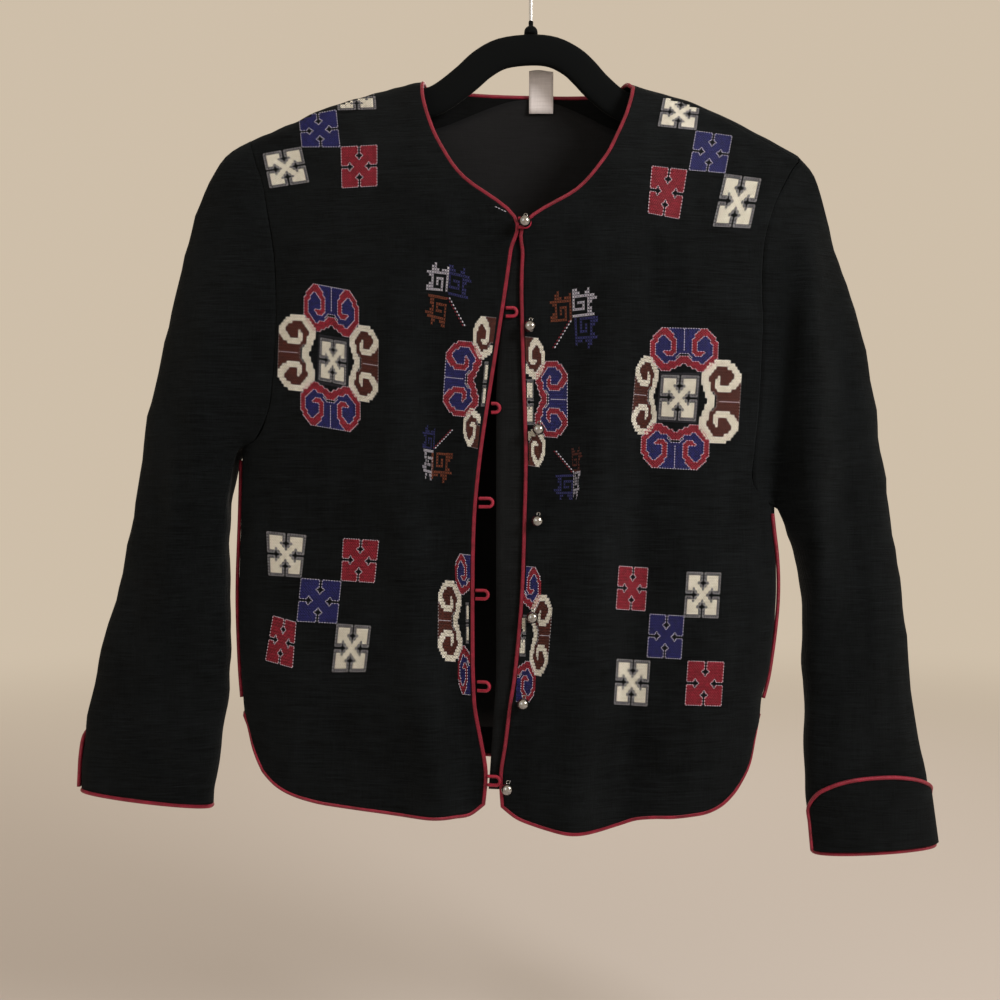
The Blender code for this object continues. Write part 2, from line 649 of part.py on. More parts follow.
def build():
    clear()
    made = bpy.data.collections.new("jacket")
    bpy.context.scene.collection.children.link(made)
    black = material("black_hemp", (0.012, 0.013, 0.016), 0.9)
    lining = material("charcoal_lining", (0.05, 0.05, 0.058), 0.6)
    crimson = material("crimson_cord", (0.42, 0.02, 0.07), 0.6)
    silver = material("silver", (0.8, 0.8, 0.82), 0.3, 1.0)
    velvet = material("black_velvet", (0.02, 0.02, 0.022), 1.0)
    steel = material("steel_wire", (0.6, 0.6, 0.62), 0.3, 1.0)
    white = material("white_tape", (0.85, 0.85, 0.82), 0.8)

    fronts = {side: frames(-1, front_pairs(side)) for side in ("right", "left")}
    back = frames(1, back_pairs())
    for side in ("right", "left"):
        loft("front_" + side, fronts[side], black, made)
    loft("back", back, black, made)

    # Sleeves, cuffs and the cords of the cuffs
    for side, rings in (("right", RIGHT_RINGS), ("left", LEFT_RINGS)):
        column = 0 if side == "right" else -1
        grid = sleeve_grid(fronts[side], [row[column] for row in back], rings)
        loft("sleeve_" + side, grid, black, made, closed=True)
        panel = flap_grid(grid, FLAPS[side], 3, CLOTH + GAP + 0.35)
        sheet("cuff_" + side, panel, CLOTH, black, made)
        rim = [row[0] for row in panel] + panel[-1][1:-1] + [row[-1] for row in panel[::-1]]
        rim = [(p + n * 0.5, n) for p, n in rim]
        hand = -1 if side == "right" else 1
        cord("cuff_cord_" + side, edge_cord(rim, hand), CORD, crimson, made)
        last, before = grid[-1], grid[-2]
        count = len(last)
        hem = [last[k][0] + (last[k][0] - before[k][0]).normalized() * (CORD + GAP) for k in range(0, count)]
        cord("sleeve_cord_" + side, hem, CORD, crimson, made, closed=True)

    # Cord round the neck, the front edges and the hems of the fronts
    def start(high, low):
        """A place part way down from the top of a vent, where the cords of front and back are apart."""
        return high[0].lerp(low[0], 0.45), (high[1] + low[1]).normalized()

    paths = {}
    for side, hand in (("right", 1), ("left", -1)):
        g = fronts[side]
        last = len(g[0]) - 1
        edge = [start(g[FREE][last], g[FREE - 1][last])] + [g[j][last] for j in range(FREE - 1, 0, -1)]
        edge += [g[0][i] for i in range(last, 0, -1)] + [g[j][0] for j in range(len(g))]
        paths[side] = edge_cord(edge, hand)
    last, top = len(back[0]) - 1, len(back) - 1
    neck = [back[top][i] for i in range(SEAM_COLUMNS, SEAM_COLUMNS + NECK_COLUMNS + 1)]
    behind = edge_cord(neck, 1)
    ends = [(paths["right"][-1] + behind[0]) / 2, (paths["left"][-1] + behind[-1]) / 2]
    whole = paths["right"][:-1] + ends[:1] + behind[1:-1] + ends[1:] + paths["left"][-2::-1]
    cord("edge_cord", whole, CORD, crimson, made)
    edge = [start(back[FREE][0], back[FREE - 1][0])] + [back[j][0] for j in range(FREE - 1, 0, -1)]
    edge += back[0] + [back[j][last] for j in range(1, FREE)]
    edge.append(start(back[FREE][last], back[FREE - 1][last]))
    cord("back_hem_cord", edge_cord(edge, -1), CORD, crimson, made)
    for side in ("right", "left"):
        column = 0 if side == "right" else -1
        path = []
        for j in range(FREE, FREE + SEAM + 1):
            (p, n), (q, m) = fronts[side][j][-1], back[j][column]
            path.append((p + q) / 2 + (n + m).normalized() * (CLOTH / 2 + CORD + GAP + 0.1))
        path[-1] = path[-1].lerp(path[-2], 0.35)
        path[0] = path[0].lerp(path[1], 0.15)
        cord("side_cord_" + side, path, CORD, crimson, made)

    # Underlap behind the edge of the left front
    grid = []
    for j in range(13):
        z = LAP_TOP + (LAP_FOOT - LAP_TOP) * j / 12
        x0 = -20 - 8 * min(1.0, (-276 - z) / 120) - 5 * max(0.0, (-620 - z) / 70)
        x1 = edge_x(LEFT_EDGE, z) + 14
        grid.append([front_place(x0 + (x1 - x0) * i / 3, z) for i in range(4)])
    sheet("button_underlap", grid, CLOTH, black, made, shift=-(CORD + GAP + CLOTH / 2 + 0.1))

    # Lining where it shows, and the blank label
    grid = []
    for j in range(11):
        line = []
        for i in range(11):
            x = -140 + 255 * i / 10
            top_z = ridge(x) - drop(-30 + 7.5 * math.cos(math.pi * min(1.0, abs(x) / 75)))
            z = top_z + (-672 - top_z) * (j / 10) ** 1.15
            line.append(body_frame(1, *coordinates(Edge(x, z))))
        grid.append(line)
    sheet("back_lining", grid, THIN, lining, made, shift=-(CLOTH / 2 + 1.5 + THIN / 2))
    p, _ = body_frame(1, *coordinates(Edge(9, -158)))
    y = p.y - CLOTH - 1.1 - THIN - 2 * GAP - 2.5
    grid = [[(Vector((-1 + 20 * i, y - 1.5 * (j - 1), -162 + 17 * j)), Vector((0, 1, 0))) for i in range(2)]
            for j in range(3)]
    sheet("neck_label", grid, THIN, white, made)

    # Loops on the right edge and ball buttons on the left
    for k, loop in enumerate(LOOPS):
        x = edge_x(RIGHT_EDGE, loop.z)
        p, n = front_place(x, loop.z)
        out = Vector((1, 0, 0)) - n * n.x
        out.normalize()
        up = out.cross(n).normalized()
        path = [p + out * loop.root + up * loop.half]
        for i in range(7):
            w = math.pi * i / 6
            path.append(p + out * (loop.reach - loop.half * (1 - math.sin(w))) + up * loop.half * math.cos(w))
        path.append(p + out * loop.root - up * loop.half)
        path = [q + n * (loop.lift + 0.2) for q in path]
        cord("button_loop_%d" % (k + 1), path, LOOP, crimson, made)
    for k, b in enumerate(BUTTONS):
        p, n = front_place(b.x, b.z)
        start = (CORD if k == 0 else CLOTH / 2) + GAP + 0.25
        foot = start + b.shank - 0.2
        profile = [(0, start), (1.0, start), (1.0, start + b.shank)]
        for w in (28, 55, 82, 109, 136, 160, 180):
            w = math.radians(w)
            profile.append((BALL * math.sin(w) if w < 3 else 0, foot + BALL * (1 - math.cos(w))))
        turned("ball_button_%d" % (k + 1), profile, p, n, 10, silver, made)

    hanger(made, velvet, steel)
    return made


# Hanger: middle line of the arms and the arch, with their height
Arm = namedtuple("Arm", "x z high")
ARCH = {
    -1: [Arm(-80, -159.5, 24), Arm(-68, -153, 24), Arm(-52, -140.5, 24.5), Arm(-39, -129, 25),
         Arm(-23, -120.5, 25)],
    1: [Arm(81, -166, 24), Arm(67, -159, 24), Arm(52.6, -146.5, 24.5), Arm(43, -136, 25), Arm(33, -127, 25),
        Arm(18, -119.5, 25)],
}


def hanger_rows():
    rows = []
    for s, tip in ((-1, -213.0), (1, 202.0)):
        side = []
        for i in range(10):
            x = tip + (s * 94 - tip) * i / 9
            high = 13 + 11 * min(1.0, i / 6)
            side.append(Arm(x, ridge(x) - REST - high / 2 - (3 if s > 0 else 0) * i / 9, high))
        rows.append(side + ARCH[s])
    return rows[0] + [Arm(0, -117.6, 25)] + rows[1][::-1]


def hanger(made, velvet, steel):
    rows = hanger_rows()
    points = []
    sides = [(0, 1.0), (0.72, 0.8), (1, 0.3), (1, -0.3), (0.72, -0.8), (0, -1.0), (-0.72, -0.8), (-1, -0.3),
             (-1, 0.3), (-0.72, 0.8)]
    n = len(sides)
    for i, r in enumerate(rows):
        a, b = rows[max(0, i - 1)], rows[min(len(rows) - 1, i + 1)]
        tangent = Vector((b.x - a.x, 0, b.z - a.z)).normalized()
        up = Vector((-tangent.z, 0, tangent.x))
        for w, h in sides:
            points.append(Vector((r.x, 0, r.z)) + up * (h * r.high / 2) + Vector((0, -4.0 * w, 0)))
    faces = quads(len(rows), n, closed=True)
    faces += [tuple(range(n))[::-1], tuple((len(rows) - 1) * n + k for k in range(n))]
    link("hanger", points, faces, velvet, made)

    # Hook: collar, stem and a bend, whose inner top is the origin
    path = [Vector((0, 0, z)) for z in (-104.8, -103.6, -97.0, -94.8, -94.4, -76.0, -60.0)]
    swell = [2.6, 3.6, 3.3, 1.6, 1.0, 1.0, 1.0] + [1.0] * 17
    for i in range(17):
        w = math.radians(-65 + 235 * i / 16)
        path.append(Vector((BEND * math.cos(w), 0, WIRE - BEND + BEND * math.sin(w))))
    cord("hook", path, WIRE, steel, made, sides=2, swell=swell)


build()
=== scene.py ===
"""Hmong embroidered jacket on its hanger: the looks. Sizes are in millimetres, meshes in metres."""
import math
from collections import namedtuple

import bpy
import numpy as np
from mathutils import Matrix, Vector, noise
from mathutils.bvhtree import BVHTree


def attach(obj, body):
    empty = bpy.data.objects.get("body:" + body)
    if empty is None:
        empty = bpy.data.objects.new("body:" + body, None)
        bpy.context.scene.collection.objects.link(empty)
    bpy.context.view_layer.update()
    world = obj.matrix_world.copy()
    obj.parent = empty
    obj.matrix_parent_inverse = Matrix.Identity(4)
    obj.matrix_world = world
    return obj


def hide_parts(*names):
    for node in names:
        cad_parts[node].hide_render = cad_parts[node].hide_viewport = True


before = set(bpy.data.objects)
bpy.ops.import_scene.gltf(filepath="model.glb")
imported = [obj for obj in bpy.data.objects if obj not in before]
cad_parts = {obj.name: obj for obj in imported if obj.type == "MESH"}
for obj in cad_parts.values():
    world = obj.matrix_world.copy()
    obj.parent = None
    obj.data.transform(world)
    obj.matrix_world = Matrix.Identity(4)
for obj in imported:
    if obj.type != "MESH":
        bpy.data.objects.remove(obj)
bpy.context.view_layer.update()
scene = bpy.context.scene

MM = 0.001

# Driving sizes
CLOTH = 1.8  # outer cloth
THIN = 1.0  # lining and label
GAP = 0.3  # between neighbouring pieces
CORD = 1.5  # radius of the piping
LOOP = 1.3  # radius of the loop cord
BALL = 4.6  # radius of a button
FRONT_FULL = 45.0  # depth of the fronts at the middle
BACK_FULL = 40.0
RIDGE_R = 9.0  # rounding of the shoulder over the hanger
CUFF_HIGH = 57.0
WIRE = 1.6  # radius of the hook's wire
BEND = 22.0  # radius of the hook's bend
REST = 3.6  # from the shoulder line down to the top of the hanger
LAP_TOP, LAP_FOOT = -276.0, -707.0  # ends of the underlap behind the buttons

# Half widths of the body, by height
Side = namedtuple("Side", "z right left")
SIDES = [
    Side(-760, -228, 182), Side(-700, -228, 183), Side(-645, -231, 185), Side(-620, -233, 191),
    Side(-560, -235, 197), Side(-490, -233, 196), Side(-440, -232, 198), Side(-300, -232, 214),
    Side(-200, -240, 228), Side(-100, -242, 230),
]
# Top line of the shoulders
Ridge = namedtuple("Ridge", "x z")
RIDGES = [
    Ridge(-300, -236), Ridge(-230, -195), Ridge(-202, -183), Ridge(-172, -169), Ridge(-125, -154),
    Ridge(-87, -145), Ridge(-50, -135), Ridge(0, -132), Ridge(45, -136), Ridge(80, -147),
    Ridge(107, -155), Ridge(138, -165), Ridge(180, -186), Ridge(217, -206), Ridge(300, -262),
]
# Folds of the fronts: a line from its top to its foot, bent by a power, with a Gaussian section
Fold = namedtuple("Fold", "x_top z_top x_foot z_foot bend width out")
FOLDS = [
    Fold(-112, -215, -70, -735, 1.9, 20, 8.0),
    Fold(-82, -230, -46, -735, 1.9, 17, -5.0),
    Fold(-168, -330, -150, -735, 1.5, 24, -3.5),
    Fold(64, -190, 30, -740, 1.3, 22, 9.0),
    Fold(99, -230, 70, -740, 1.3, 19, -5.0),
    Fold(150, -300, 140, -740, 1.0, 24, 3.5),
]
# Folds of the sleeves, on the front unless back is 1; they fade out at both ends
SleeveFold = namedtuple("SleeveFold", "x_top z_top x_foot z_foot width out back")
SLEEVE_FOLDS = [
    SleeveFold(-240, -290, -300, -640, 19, 6.0, 0), SleeveFold(-262, -470, -286, -640, 13, -4.0, 0),
    SleeveFold(-280, -330, -300, -600, 20, 4.0, 1), SleeveFold(215, -240, 221, -575, 15, 13.0, 0),
    SleeveFold(247, -330, 258, -650, 16, -4.0, 0), SleeveFold(250, -330, 262, -650, 20, 5.0, 1),
]
BACK_FOLDS = [
    Fold(-100, -230, -120, -700, 1.0, 34, 3.5),
    Fold(0, -260, -6, -700, 1.0, 38, -3.0),
    Fold(95, -230, 100, -700, 1.0, 34, 3.5),
]

# Edges of the fronts, from the hem corner up: x and z, or over, how far past the shoulder line
Edge = namedtuple("Edge", "x z over", defaults=(None, None))
RIGHT_EDGE = [
    Edge(-39, -718), Edge(-36, -706), Edge(-38, -688), Edge(-43, -658), Edge(-47, -625), Edge(-47.5, -560),
    Edge(-46.5, -500), Edge(-42, -450), Edge(-34, -395), Edge(-27, -350), Edge(-20, -303), Edge(-15, -264),
]
RIGHT_NECK = [
    Edge(-15, -264), Edge(-28, -255), Edge(-48, -239), Edge(-66, -217), Edge(-78, -193), Edge(-85, -173),
    Edge(-88.5, -156), Edge(-88, over=0), Edge(-87, over=7),
]
RIGHT_HEM = [
    Edge(-39, -718), Edge(-47, -725), Edge(-67, -726), Edge(-116, -723.5), Edge(-166, -718), Edge(-196, -709),
    Edge(-212, -696),
]
RIGHT_VENT = [Edge(-212, -696), Edge(-219, -683), Edge(-226, -661), Edge(-230, -645)]
LEFT_EDGE = [
    Edge(-22, -719), Edge(-26, -709), Edge(-22, -690), Edge(-17, -650), Edge(-11, -605), Edge(-6, -540),
    Edge(-4, -470), Edge(-4, -430), Edge(-6, -370), Edge(-7, -310), Edge(-4, -268),
]
LEFT_NECK = [
    Edge(-4, -268), Edge(8, -259), Edge(21, -251), Edge(37, -241), Edge(53, -223), Edge(65, -202),
    Edge(75, -180), Edge(80.5, -163), Edge(83, over=-9),
]
LEFT_HEM = [
    Edge(-22, -719), Edge(-12, -727), Edge(8, -734), Edge(33, -738), Edge(58, -736), Edge(85, -729),
    Edge(117, -728), Edge(142, -724), Edge(159, -712),
]
LEFT_VENT = [Edge(159, -712), Edge(170, -697), Edge(177, -677), Edge(181, -660), Edge(183, -645)]
RIGHT_BACK_VENT = [Edge(-208, -684), Edge(-220, -674), Edge(-227, -660), Edge(-230, -645)]
LEFT_BACK_VENT = [Edge(162, -684), Edge(173, -674), Edge(180, -660), Edge(183, -645)]
BACK_HEM = [Edge(-208, -684), Edge(-185, -691), Edge(-100, -695), Edge(0, -696), Edge(90, -695),
            Edge(142, -691), Edge(162, -684)]
BACK_NECK = [
    Edge(-87, over=-7.3), Edge(-81, over=-10), Edge(-69, over=-15), Edge(-45, over=-20), Edge(0, over=-22),
    Edge(40, over=-21), Edge(58, over=-17.5), Edge(69, over=-13), Edge(77, over=-3), Edge(83, over=8.7),
]
# Armholes, from the underarm up
RIGHT_ARM = [
    Edge(-220, -436), Edge(-210, -420), Edge(-205, -400), Edge(-202, -365), Edge(-201, -330),
    Edge(-203, -290), Edge(-209, -255), Edge(-215, -225), Edge(-222, -207), Edge(-226, over=7),
]
RIGHT_BACK_ARM = [
    Edge(-222, -436), Edge(-213, -418), Edge(-209, -390), Edge(-206, -340), Edge(-207, -290),
    Edge(-211, -250), Edge(-218, -215), Edge(-226, over=-7.3),
]
LEFT_ARM = [
    Edge(177, -478), Edge(174, -455), Edge(177, -430), Edge(180, -390), Edge(182, -340), Edge(181, -300),
    Edge(186, -270), Edge(194, -245), Edge(207, -220), Edge(214, over=-12),
]
LEFT_BACK_ARM = [
    Edge(192, -455), Edge(190, -420), Edge(188, -380), Edge(189, -330), Edge(192, -290), Edge(197, -258),
    Edge(205, -226), Edge(212, over=-4), Edge(214, over=11.7),
]
UNDERARM = {"right": -441.0, "left": -486.0}
VENT_TOP = -645.0
# How far the left side seam turns to the front, in degrees, by height
Turn = namedtuple("Turn", "z left")
TURNS = [Turn(-760, 0), Turn(-600, 0), Turn(-530, 7), Turn(-486, 14), Turn(-400, 16)]

# Sleeve rings below the armhole: outer fold, inner fold, half depth, share of ellipse
Ring = namedtuple("Ring", "ox oz ix iz deep oval")
RIGHT_RINGS = [
    Ring(-245, -209, -241, -444, 26, 0.3), Ring(-262, -236, -243.5, -457, 27, 0.6),
    Ring(-275, -274, -244.5, -476, 27, 0.85), Ring(-286, -318, -244.5, -501, 26, 1),
    Ring(-297, -366, -245, -527, 25, 1), Ring(-307, -414, -245, -555, 24, 1),
    Ring(-315, -460, -245, -582, 23, 1), Ring(-322, -506, -245, -610, 22, 1),
    Ring(-332, -552, -246, -636, 21, 1), Ring(-343, -592, -249, -660, 20, 1),
    Ring(-352, -630, -252, -682, 19, 1), Ring(-358, -664, -255, -700, 18, 1),
    Ring(-361.5, -692, -257, -713, 17, 1), Ring(-362.5, -714, -258, -727, 16, 1),
]
LEFT_RINGS = [
    Ring(229, -222, 203.5, -491, 24, 0.3), Ring(237, -247, 206, -499, 25, 0.6),
    Ring(245, -280, 209, -510, 26, 0.85), Ring(257, -318, 214, -524, 26, 1),
    Ring(268, -360, 218.5, -543, 26, 1), Ring(276, -408, 221, -565, 25, 1),
    Ring(283, -452, 222, -590, 24, 1), Ring(290, -498, 222, -616, 23, 1),
    Ring(297, -544, 222, -642, 22, 1), Ring(302, -590, 222, -668, 21, 1),
    Ring(307, -634, 223, -694, 20, 1), Ring(313, -674, 224, -718, 19, 1),
    Ring(320, -714, 226, -742, 18, 1), Ring(326, -758, 228, -764, 17, 1),
]
# Where the cuff flaps lie: first and last line of the sleeve's ring, from its outer fold and front first
Flap = namedtuple("Flap", "first last foot")
FLAPS = {"right": Flap(17, 30, 34), "left": Flap(0, 14, 34)}

Button = namedtuple("Button", "x z shank")
BUTTONS = [
    Button(-6, -270, 5.0), Button(-2, -349, 2.2), Button(4.5, -428, 2.2), Button(4, -498, 2.2),
    Button(0, -572, 2.2), Button(-7, -638, 2.2), Button(-19, -704, 2.2),
]
Loop = namedtuple("Loop", "z root reach half lift")
LOOPS = [
    Loop(-269, 4.5, 13.5, 3.4, 3.4), Loop(-337, 4.5, 13, 3.2, 0), Loop(-411, 4.5, 11, 3.4, 0),
    Loop(-484, 3.7, 14.5, 3.2, 0), Loop(-555, 3.6, 13.5, 3.2, 0), Loop(-626, 4.5, 14, 3.4, 0),
    Loop(-699, 2.8, 12.5, 3.4, 2.5),
]


def smooth_table(rows, key, column):
    """A cubic through the rows, by slopes from their neighbours."""
    xs = [getattr(r, key) for r in rows]
    ys = [getattr(r, column) for r in rows]
    slopes = [0.0] * len(xs)
    for i in range(len(xs)):
        a, b = max(0, i - 1), min(len(xs) - 1, i + 1)
        slopes[i] = (ys[b] - ys[a]) / (xs[b] - xs[a])

    def at(x):
        x = min(max(x, xs[0]), xs[-1])
        i = 0
        while i < len(xs) - 2 and x > xs[i + 1]:
            i += 1
        h = xs[i + 1] - xs[i]
        t = (x - xs[i]) / h
        a, b = ys[i], ys[i + 1]
        return ((2 * t**3 - 3 * t**2 + 1) * a + (t**3 - 2 * t**2 + t) * h * slopes[i]
                + (3 * t**2 - 2 * t**3) * b + (t**3 - t**2) * h * slopes[i + 1])

    return at


side_right = smooth_table(SIDES, "z", "right")
side_left = smooth_table(SIDES, "z", "left")
turn_left = smooth_table(TURNS, "z", "left")
ridge = smooth_table(RIDGES, "x", "z")
QUARTER = RIDGE_R * math.pi / 2


def drop(over):
    """Height lost by a point that lies over mm from the shoulder line, along the cloth."""
    t = abs(over)
    return RIDGE_R * (1 - math.cos(t / RIDGE_R)) if t < QUARTER else RIDGE_R + t - QUARTER


def along(fall):
    """The way along the cloth from the shoulder line to a point that is fall mm below it."""
    fall = max(0.0, fall)
    return RIDGE_R * math.acos(1 - fall / RIDGE_R) if fall < RIDGE_R else QUARTER + fall - RIDGE_R


def folds(rows, x, z):
    total = 0.0
    for f in rows:
        t = min(max((f.z_top - z) / (f.z_top - f.z_foot), 0.0), 1.0)
        middle = f.x_top + (f.x_foot - f.x_top) * t**f.bend
        grow = min(1.0, t / 0.45)
        total += f.out * grow * grow * (3 - 2 * grow) * math.exp(-((x - middle) / f.width) ** 2)
    return total


def body(face, psi, over):
    """A point of the body. psi runs from the middle to the sides at +-90 degrees, and on round them; over is
    the way down from the shoulder line on the piece's own face, less than 0 beyond it."""
    z = -400.0
    for _ in range(12):
        middle = (side_right(z) + side_left(z)) / 2
        x = middle + (side_left(z) - side_right(z)) / 2 * math.sin(psi)
        z, before = ridge(x) - drop(over), z
        if abs(z - before) < 1e-6:
            break
    u = min(1.0, abs(math.sin(psi)))
    fall = ridge(x) - z
    full = (FRONT_FULL if face < 0 else BACK_FULL) * (1 - 0.12 * min(1.0, max(0.0, (-600 - z) / 130)))
    bulge = full * max(0.0, 1 - u**2.6) ** (1 / 2.2)
    reach = 160 + 70 * min(1.0, max(0.0, (abs(x) - 90) / 120))
    s = 1 - max(0.0, 1 - fall / reach) ** 2.2
    round_r = math.sqrt(max(0.0, RIDGE_R**2 - (RIDGE_R - fall) ** 2)) if fall < RIDGE_R else RIDGE_R
    y = (1 - s) * round_r + s * bulge
    calm = (1 - u**4) * min(1.0, fall / 70)
    if face > 0:
        y += 13 * math.exp(-fall / 60) * math.cos(math.pi * min(0.5, abs(x) / 180)) ** 2 * min(1.0, fall / 6)
        y += folds(BACK_FOLDS, x, z) * calm
    else:
        y += folds(FOLDS, x, z) * calm
    sign = face * (1 if math.cos(psi) >= 0 else -1) * (1 if over >= 0 else -1)
    return Vector((x, sign * y, z))


def body_frame(face, psi, over):
    """A point of the body and its outward normal."""
    h, k = 0.012, 1.5
    p = body(face, psi, over)
    a = body(face, psi + h, over) - body(face, psi - h, over)
    b = body(face, psi, over + k) - body(face, psi, over - k)
    n = a.cross(b)
    n.normalize()
    return p, n if face > 0 else -n


def coordinates(row):
    """psi and over of a table row."""
    z = row.z if row.z is not None else ridge(row.x) - drop(row.over)
    middle = (side_right(z) + side_left(z)) / 2
    u = (row.x - middle) / ((side_left(z) - side_right(z)) / 2)
    psi = math.asin(min(1.0, max(-1.0, u)))
    return psi, (-row.over if row.over is not None else along(ridge(row.x) - z))


def catmull(rows, n, closed=False):
    """Rows of an array, n steps between neighbours, on a Catmull-Rom curve."""
    rows = np.asarray(rows, float)
    m = len(rows)
    out = []
    for i in range(m if closed else m - 1):
        if closed:
            p0, p1, p2, p3 = rows[i - 1], rows[i], rows[(i + 1) % m], rows[(i + 2) % m]
        else:
            p0, p1, p2, p3 = rows[max(0, i - 1)], rows[i], rows[i + 1], rows[min(m - 1, i + 2)]
        for j in range(n):
            t = j / n
            out.append(0.5 * (2 * p1 + (p2 - p0) * t + (2 * p0 - 5 * p1 + 4 * p2 - p3) * t * t
                              + (3 * p1 - p0 - 3 * p2 + p3) * t**3))
    if not closed:
        out.append(rows[-1])
    return np.array(out)


def rounded(points):
    return catmull(points, 8).tolist()


def curve(rows):
    """A smooth line of pairs through the rows of an edge table."""
    return rounded([coordinates(r) for r in rows])


def stations(face, pairs, fractions):
    """The pairs at fractions of the curve's length on the cloth."""
    places = [body(face, *p) for p in pairs]
    lengths = [0.0]
    for a, b in zip(places, places[1:]):
        lengths.append(lengths[-1] + (b - a).length)
    out = []
    for f in fractions:
        s = min(max(f, 0.0), 1.0) * lengths[-1]
        i = 0
        while i < len(pairs) - 2 and lengths[i + 1] < s:
            i += 1
        w = (s - lengths[i]) / max(1e-9, lengths[i + 1] - lengths[i])
        out.append(tuple(a + (b - a) * w for a, b in zip(pairs[i], pairs[i + 1])))
    return out


def even(n):
    return [i / n for i in range(n + 1)]


def straight(face, a, b, n):
    """Pairs on the straight way from a to b."""
    return stations(face, [tuple(p + (q - p) * t for p, q in zip(a, b)) for t in even(30)], even(n))


def chain(*parts):
    out = list(parts[0])
    for part in parts[1:]:
        out += part[1:]
    return out


def eased(pairs, reach):
    """The pairs drawn toward their neighbours, with the ends kept."""
    out = list(pairs)
    n = len(pairs) - 1
    for _ in range(reach):
        inner = [tuple(0.25 * a + 0.5 * b + 0.25 * c for a, b, c in zip(out[i - 1], out[i], out[i + 1]))
                 for i in range(1, n)]
        out = [out[0]] + inner + [out[-1]]
    return out


def blend(bottom, top, inner, outer):
    """A Coons patch between four edges, as rows of pairs. The corners of its sides fade quickly inward."""
    nu, nv = len(bottom) - 1, len(inner) - 1
    calm_in, calm_out = eased(inner, 14), eased(outer, 14)
    calm_low, calm_top = eased(bottom, 8), eased(top, 8)
    rows = []
    for j in range(nv + 1):
        v = j / nv
        row = []
        for i in range(nu + 1):
            c = i / nu
            row.append(tuple(
                (1 - v) * calm_low[i][k] + v * calm_top[i][k] + (1 - c) * calm_in[j][k] + c * calm_out[j][k]
                - (1 - c) * (1 - v) * bottom[0][k] - c * (1 - v) * bottom[nu][k]
                - (1 - c) * v * top[0][k] - c * v * top[nu][k]
                + (1 - c) ** 3 * (inner[j][k] - calm_in[j][k]) + c**3 * (outer[j][k] - calm_out[j][k])
                + (1 - v) ** 4 * (bottom[i][k] - calm_low[i][k]) + v**4 * (top[i][k] - calm_top[i][k])
                for k in (0, 1)))
        rows.append(row)
    return rows


# Rows that crowd at the shoulder line, where the cloth turns over the hanger
TOP_STEPS = [0.0, 0.30, 0.52, 0.68, 0.80, 0.87, 0.915, 0.957, 1.0]
FREE, SEAM, LOW, COLUMNS = 3, 8, 7, 14
SEAM_COLUMNS = 6
NECK_STEPS = [0.0, 0.05, 0.12, 0.27, 0.46, 0.65, 0.79, 0.87, 0.935, 1.0]
NECK_COLUMNS = len(NECK_STEPS) - 1
SEAM_INSET = 0.0034  # from the side seam to a panel's edge, in radians
LOW_SHARE = 0.62  # of the armhole, in even steps


def seam_line(face, side, inset):
    """The side seam's pairs, from the vent up to the underarm."""
    s = -1 if side == "right" else 1
    out = []
    for i in range(SEAM + 1):
        z = VENT_TOP + (UNDERARM[side] - VENT_TOP) * i / SEAM
        turn = math.radians(turn_left(z)) if side == "left" else 0.0
        psi = math.pi / 2 - turn - inset if face < 0 else math.pi / 2 + turn - inset
        x = (side_right(z) + side_left(z)) / 2 + s * (side_left(z) - side_right(z)) / 2 * math.sin(psi)
        out.append((s * psi, along(ridge(x) - z)))
    return out


def outer_edge(face, side, vent, arm):
    """The pairs of a panel's outer edge: vent, side seam and armhole."""
    seam = seam_line(face, side, SEAM_INSET)
    free = stations(face, rounded([coordinates(r) for r in vent[:-1]] + [seam[0]]), even(FREE))
    hole = rounded([seam[-1]] + [coordinates(r) for r in arm])
    low = stations(face, hole, [LOW_SHARE * f for f in even(LOW)])
    high = stations(face, hole, [LOW_SHARE + (1 - LOW_SHARE) * f for f in TOP_STEPS])
    return chain(free, seam, low, high)


def front_pairs(side):
    edge, neck, hem, vent, arm = {
        "right": (RIGHT_EDGE, RIGHT_NECK, RIGHT_HEM, RIGHT_VENT, RIGHT_ARM),
        "left": (LEFT_EDGE, LEFT_NECK, LEFT_HEM, LEFT_VENT, LEFT_ARM),
    }[side]
    inner = chain(stations(-1, curve(edge), even(FREE + SEAM + LOW)), stations(-1, curve(neck), TOP_STEPS))
    outer = outer_edge(-1, side, vent, arm)
    bottom = stations(-1, curve(hem), even(COLUMNS))
    return blend(bottom, straight(-1, inner[-1], outer[-1], COLUMNS), inner, outer)


def back_pairs():
    right = outer_edge(1, "right", RIGHT_BACK_VENT, RIGHT_BACK_ARM)
    left = outer_edge(1, "left", LEFT_BACK_VENT, LEFT_BACK_ARM)
    neck = stations(1, curve(BACK_NECK), NECK_STEPS)
    top = chain(straight(1, right[-1], neck[0], SEAM_COLUMNS), neck, straight(1, neck[-1], left[-1], SEAM_COLUMNS))
    return blend(stations(1, curve(BACK_HEM), even(len(top) - 1)), top, right, left)


def frames(face, pairs):
    return [[body_frame(face, *p) for p in row] for row in pairs]


def edge_cord(edge, hand, out=CORD + GAP):
    """Places out mm beyond an edge of points and normals, on its hand side, mitred at its corners."""
    path = []
    n = len(edge)
    for i in range(n):
        p, normal = edge[i]
        ways = []
        for a, b in ((i - 1, i), (i, i + 1)):
            if a >= 0 and b < n:
                ways.append((edge[b][0] - edge[a][0]).cross(normal).normalized() * hand)
        if len(ways) == 2:
            way = (ways[0] + ways[1]) / (1 + max(-0.4, ways[0].dot(ways[1])))
        else:
            way = ways[0]
        path.append(p + way * out)
    return path


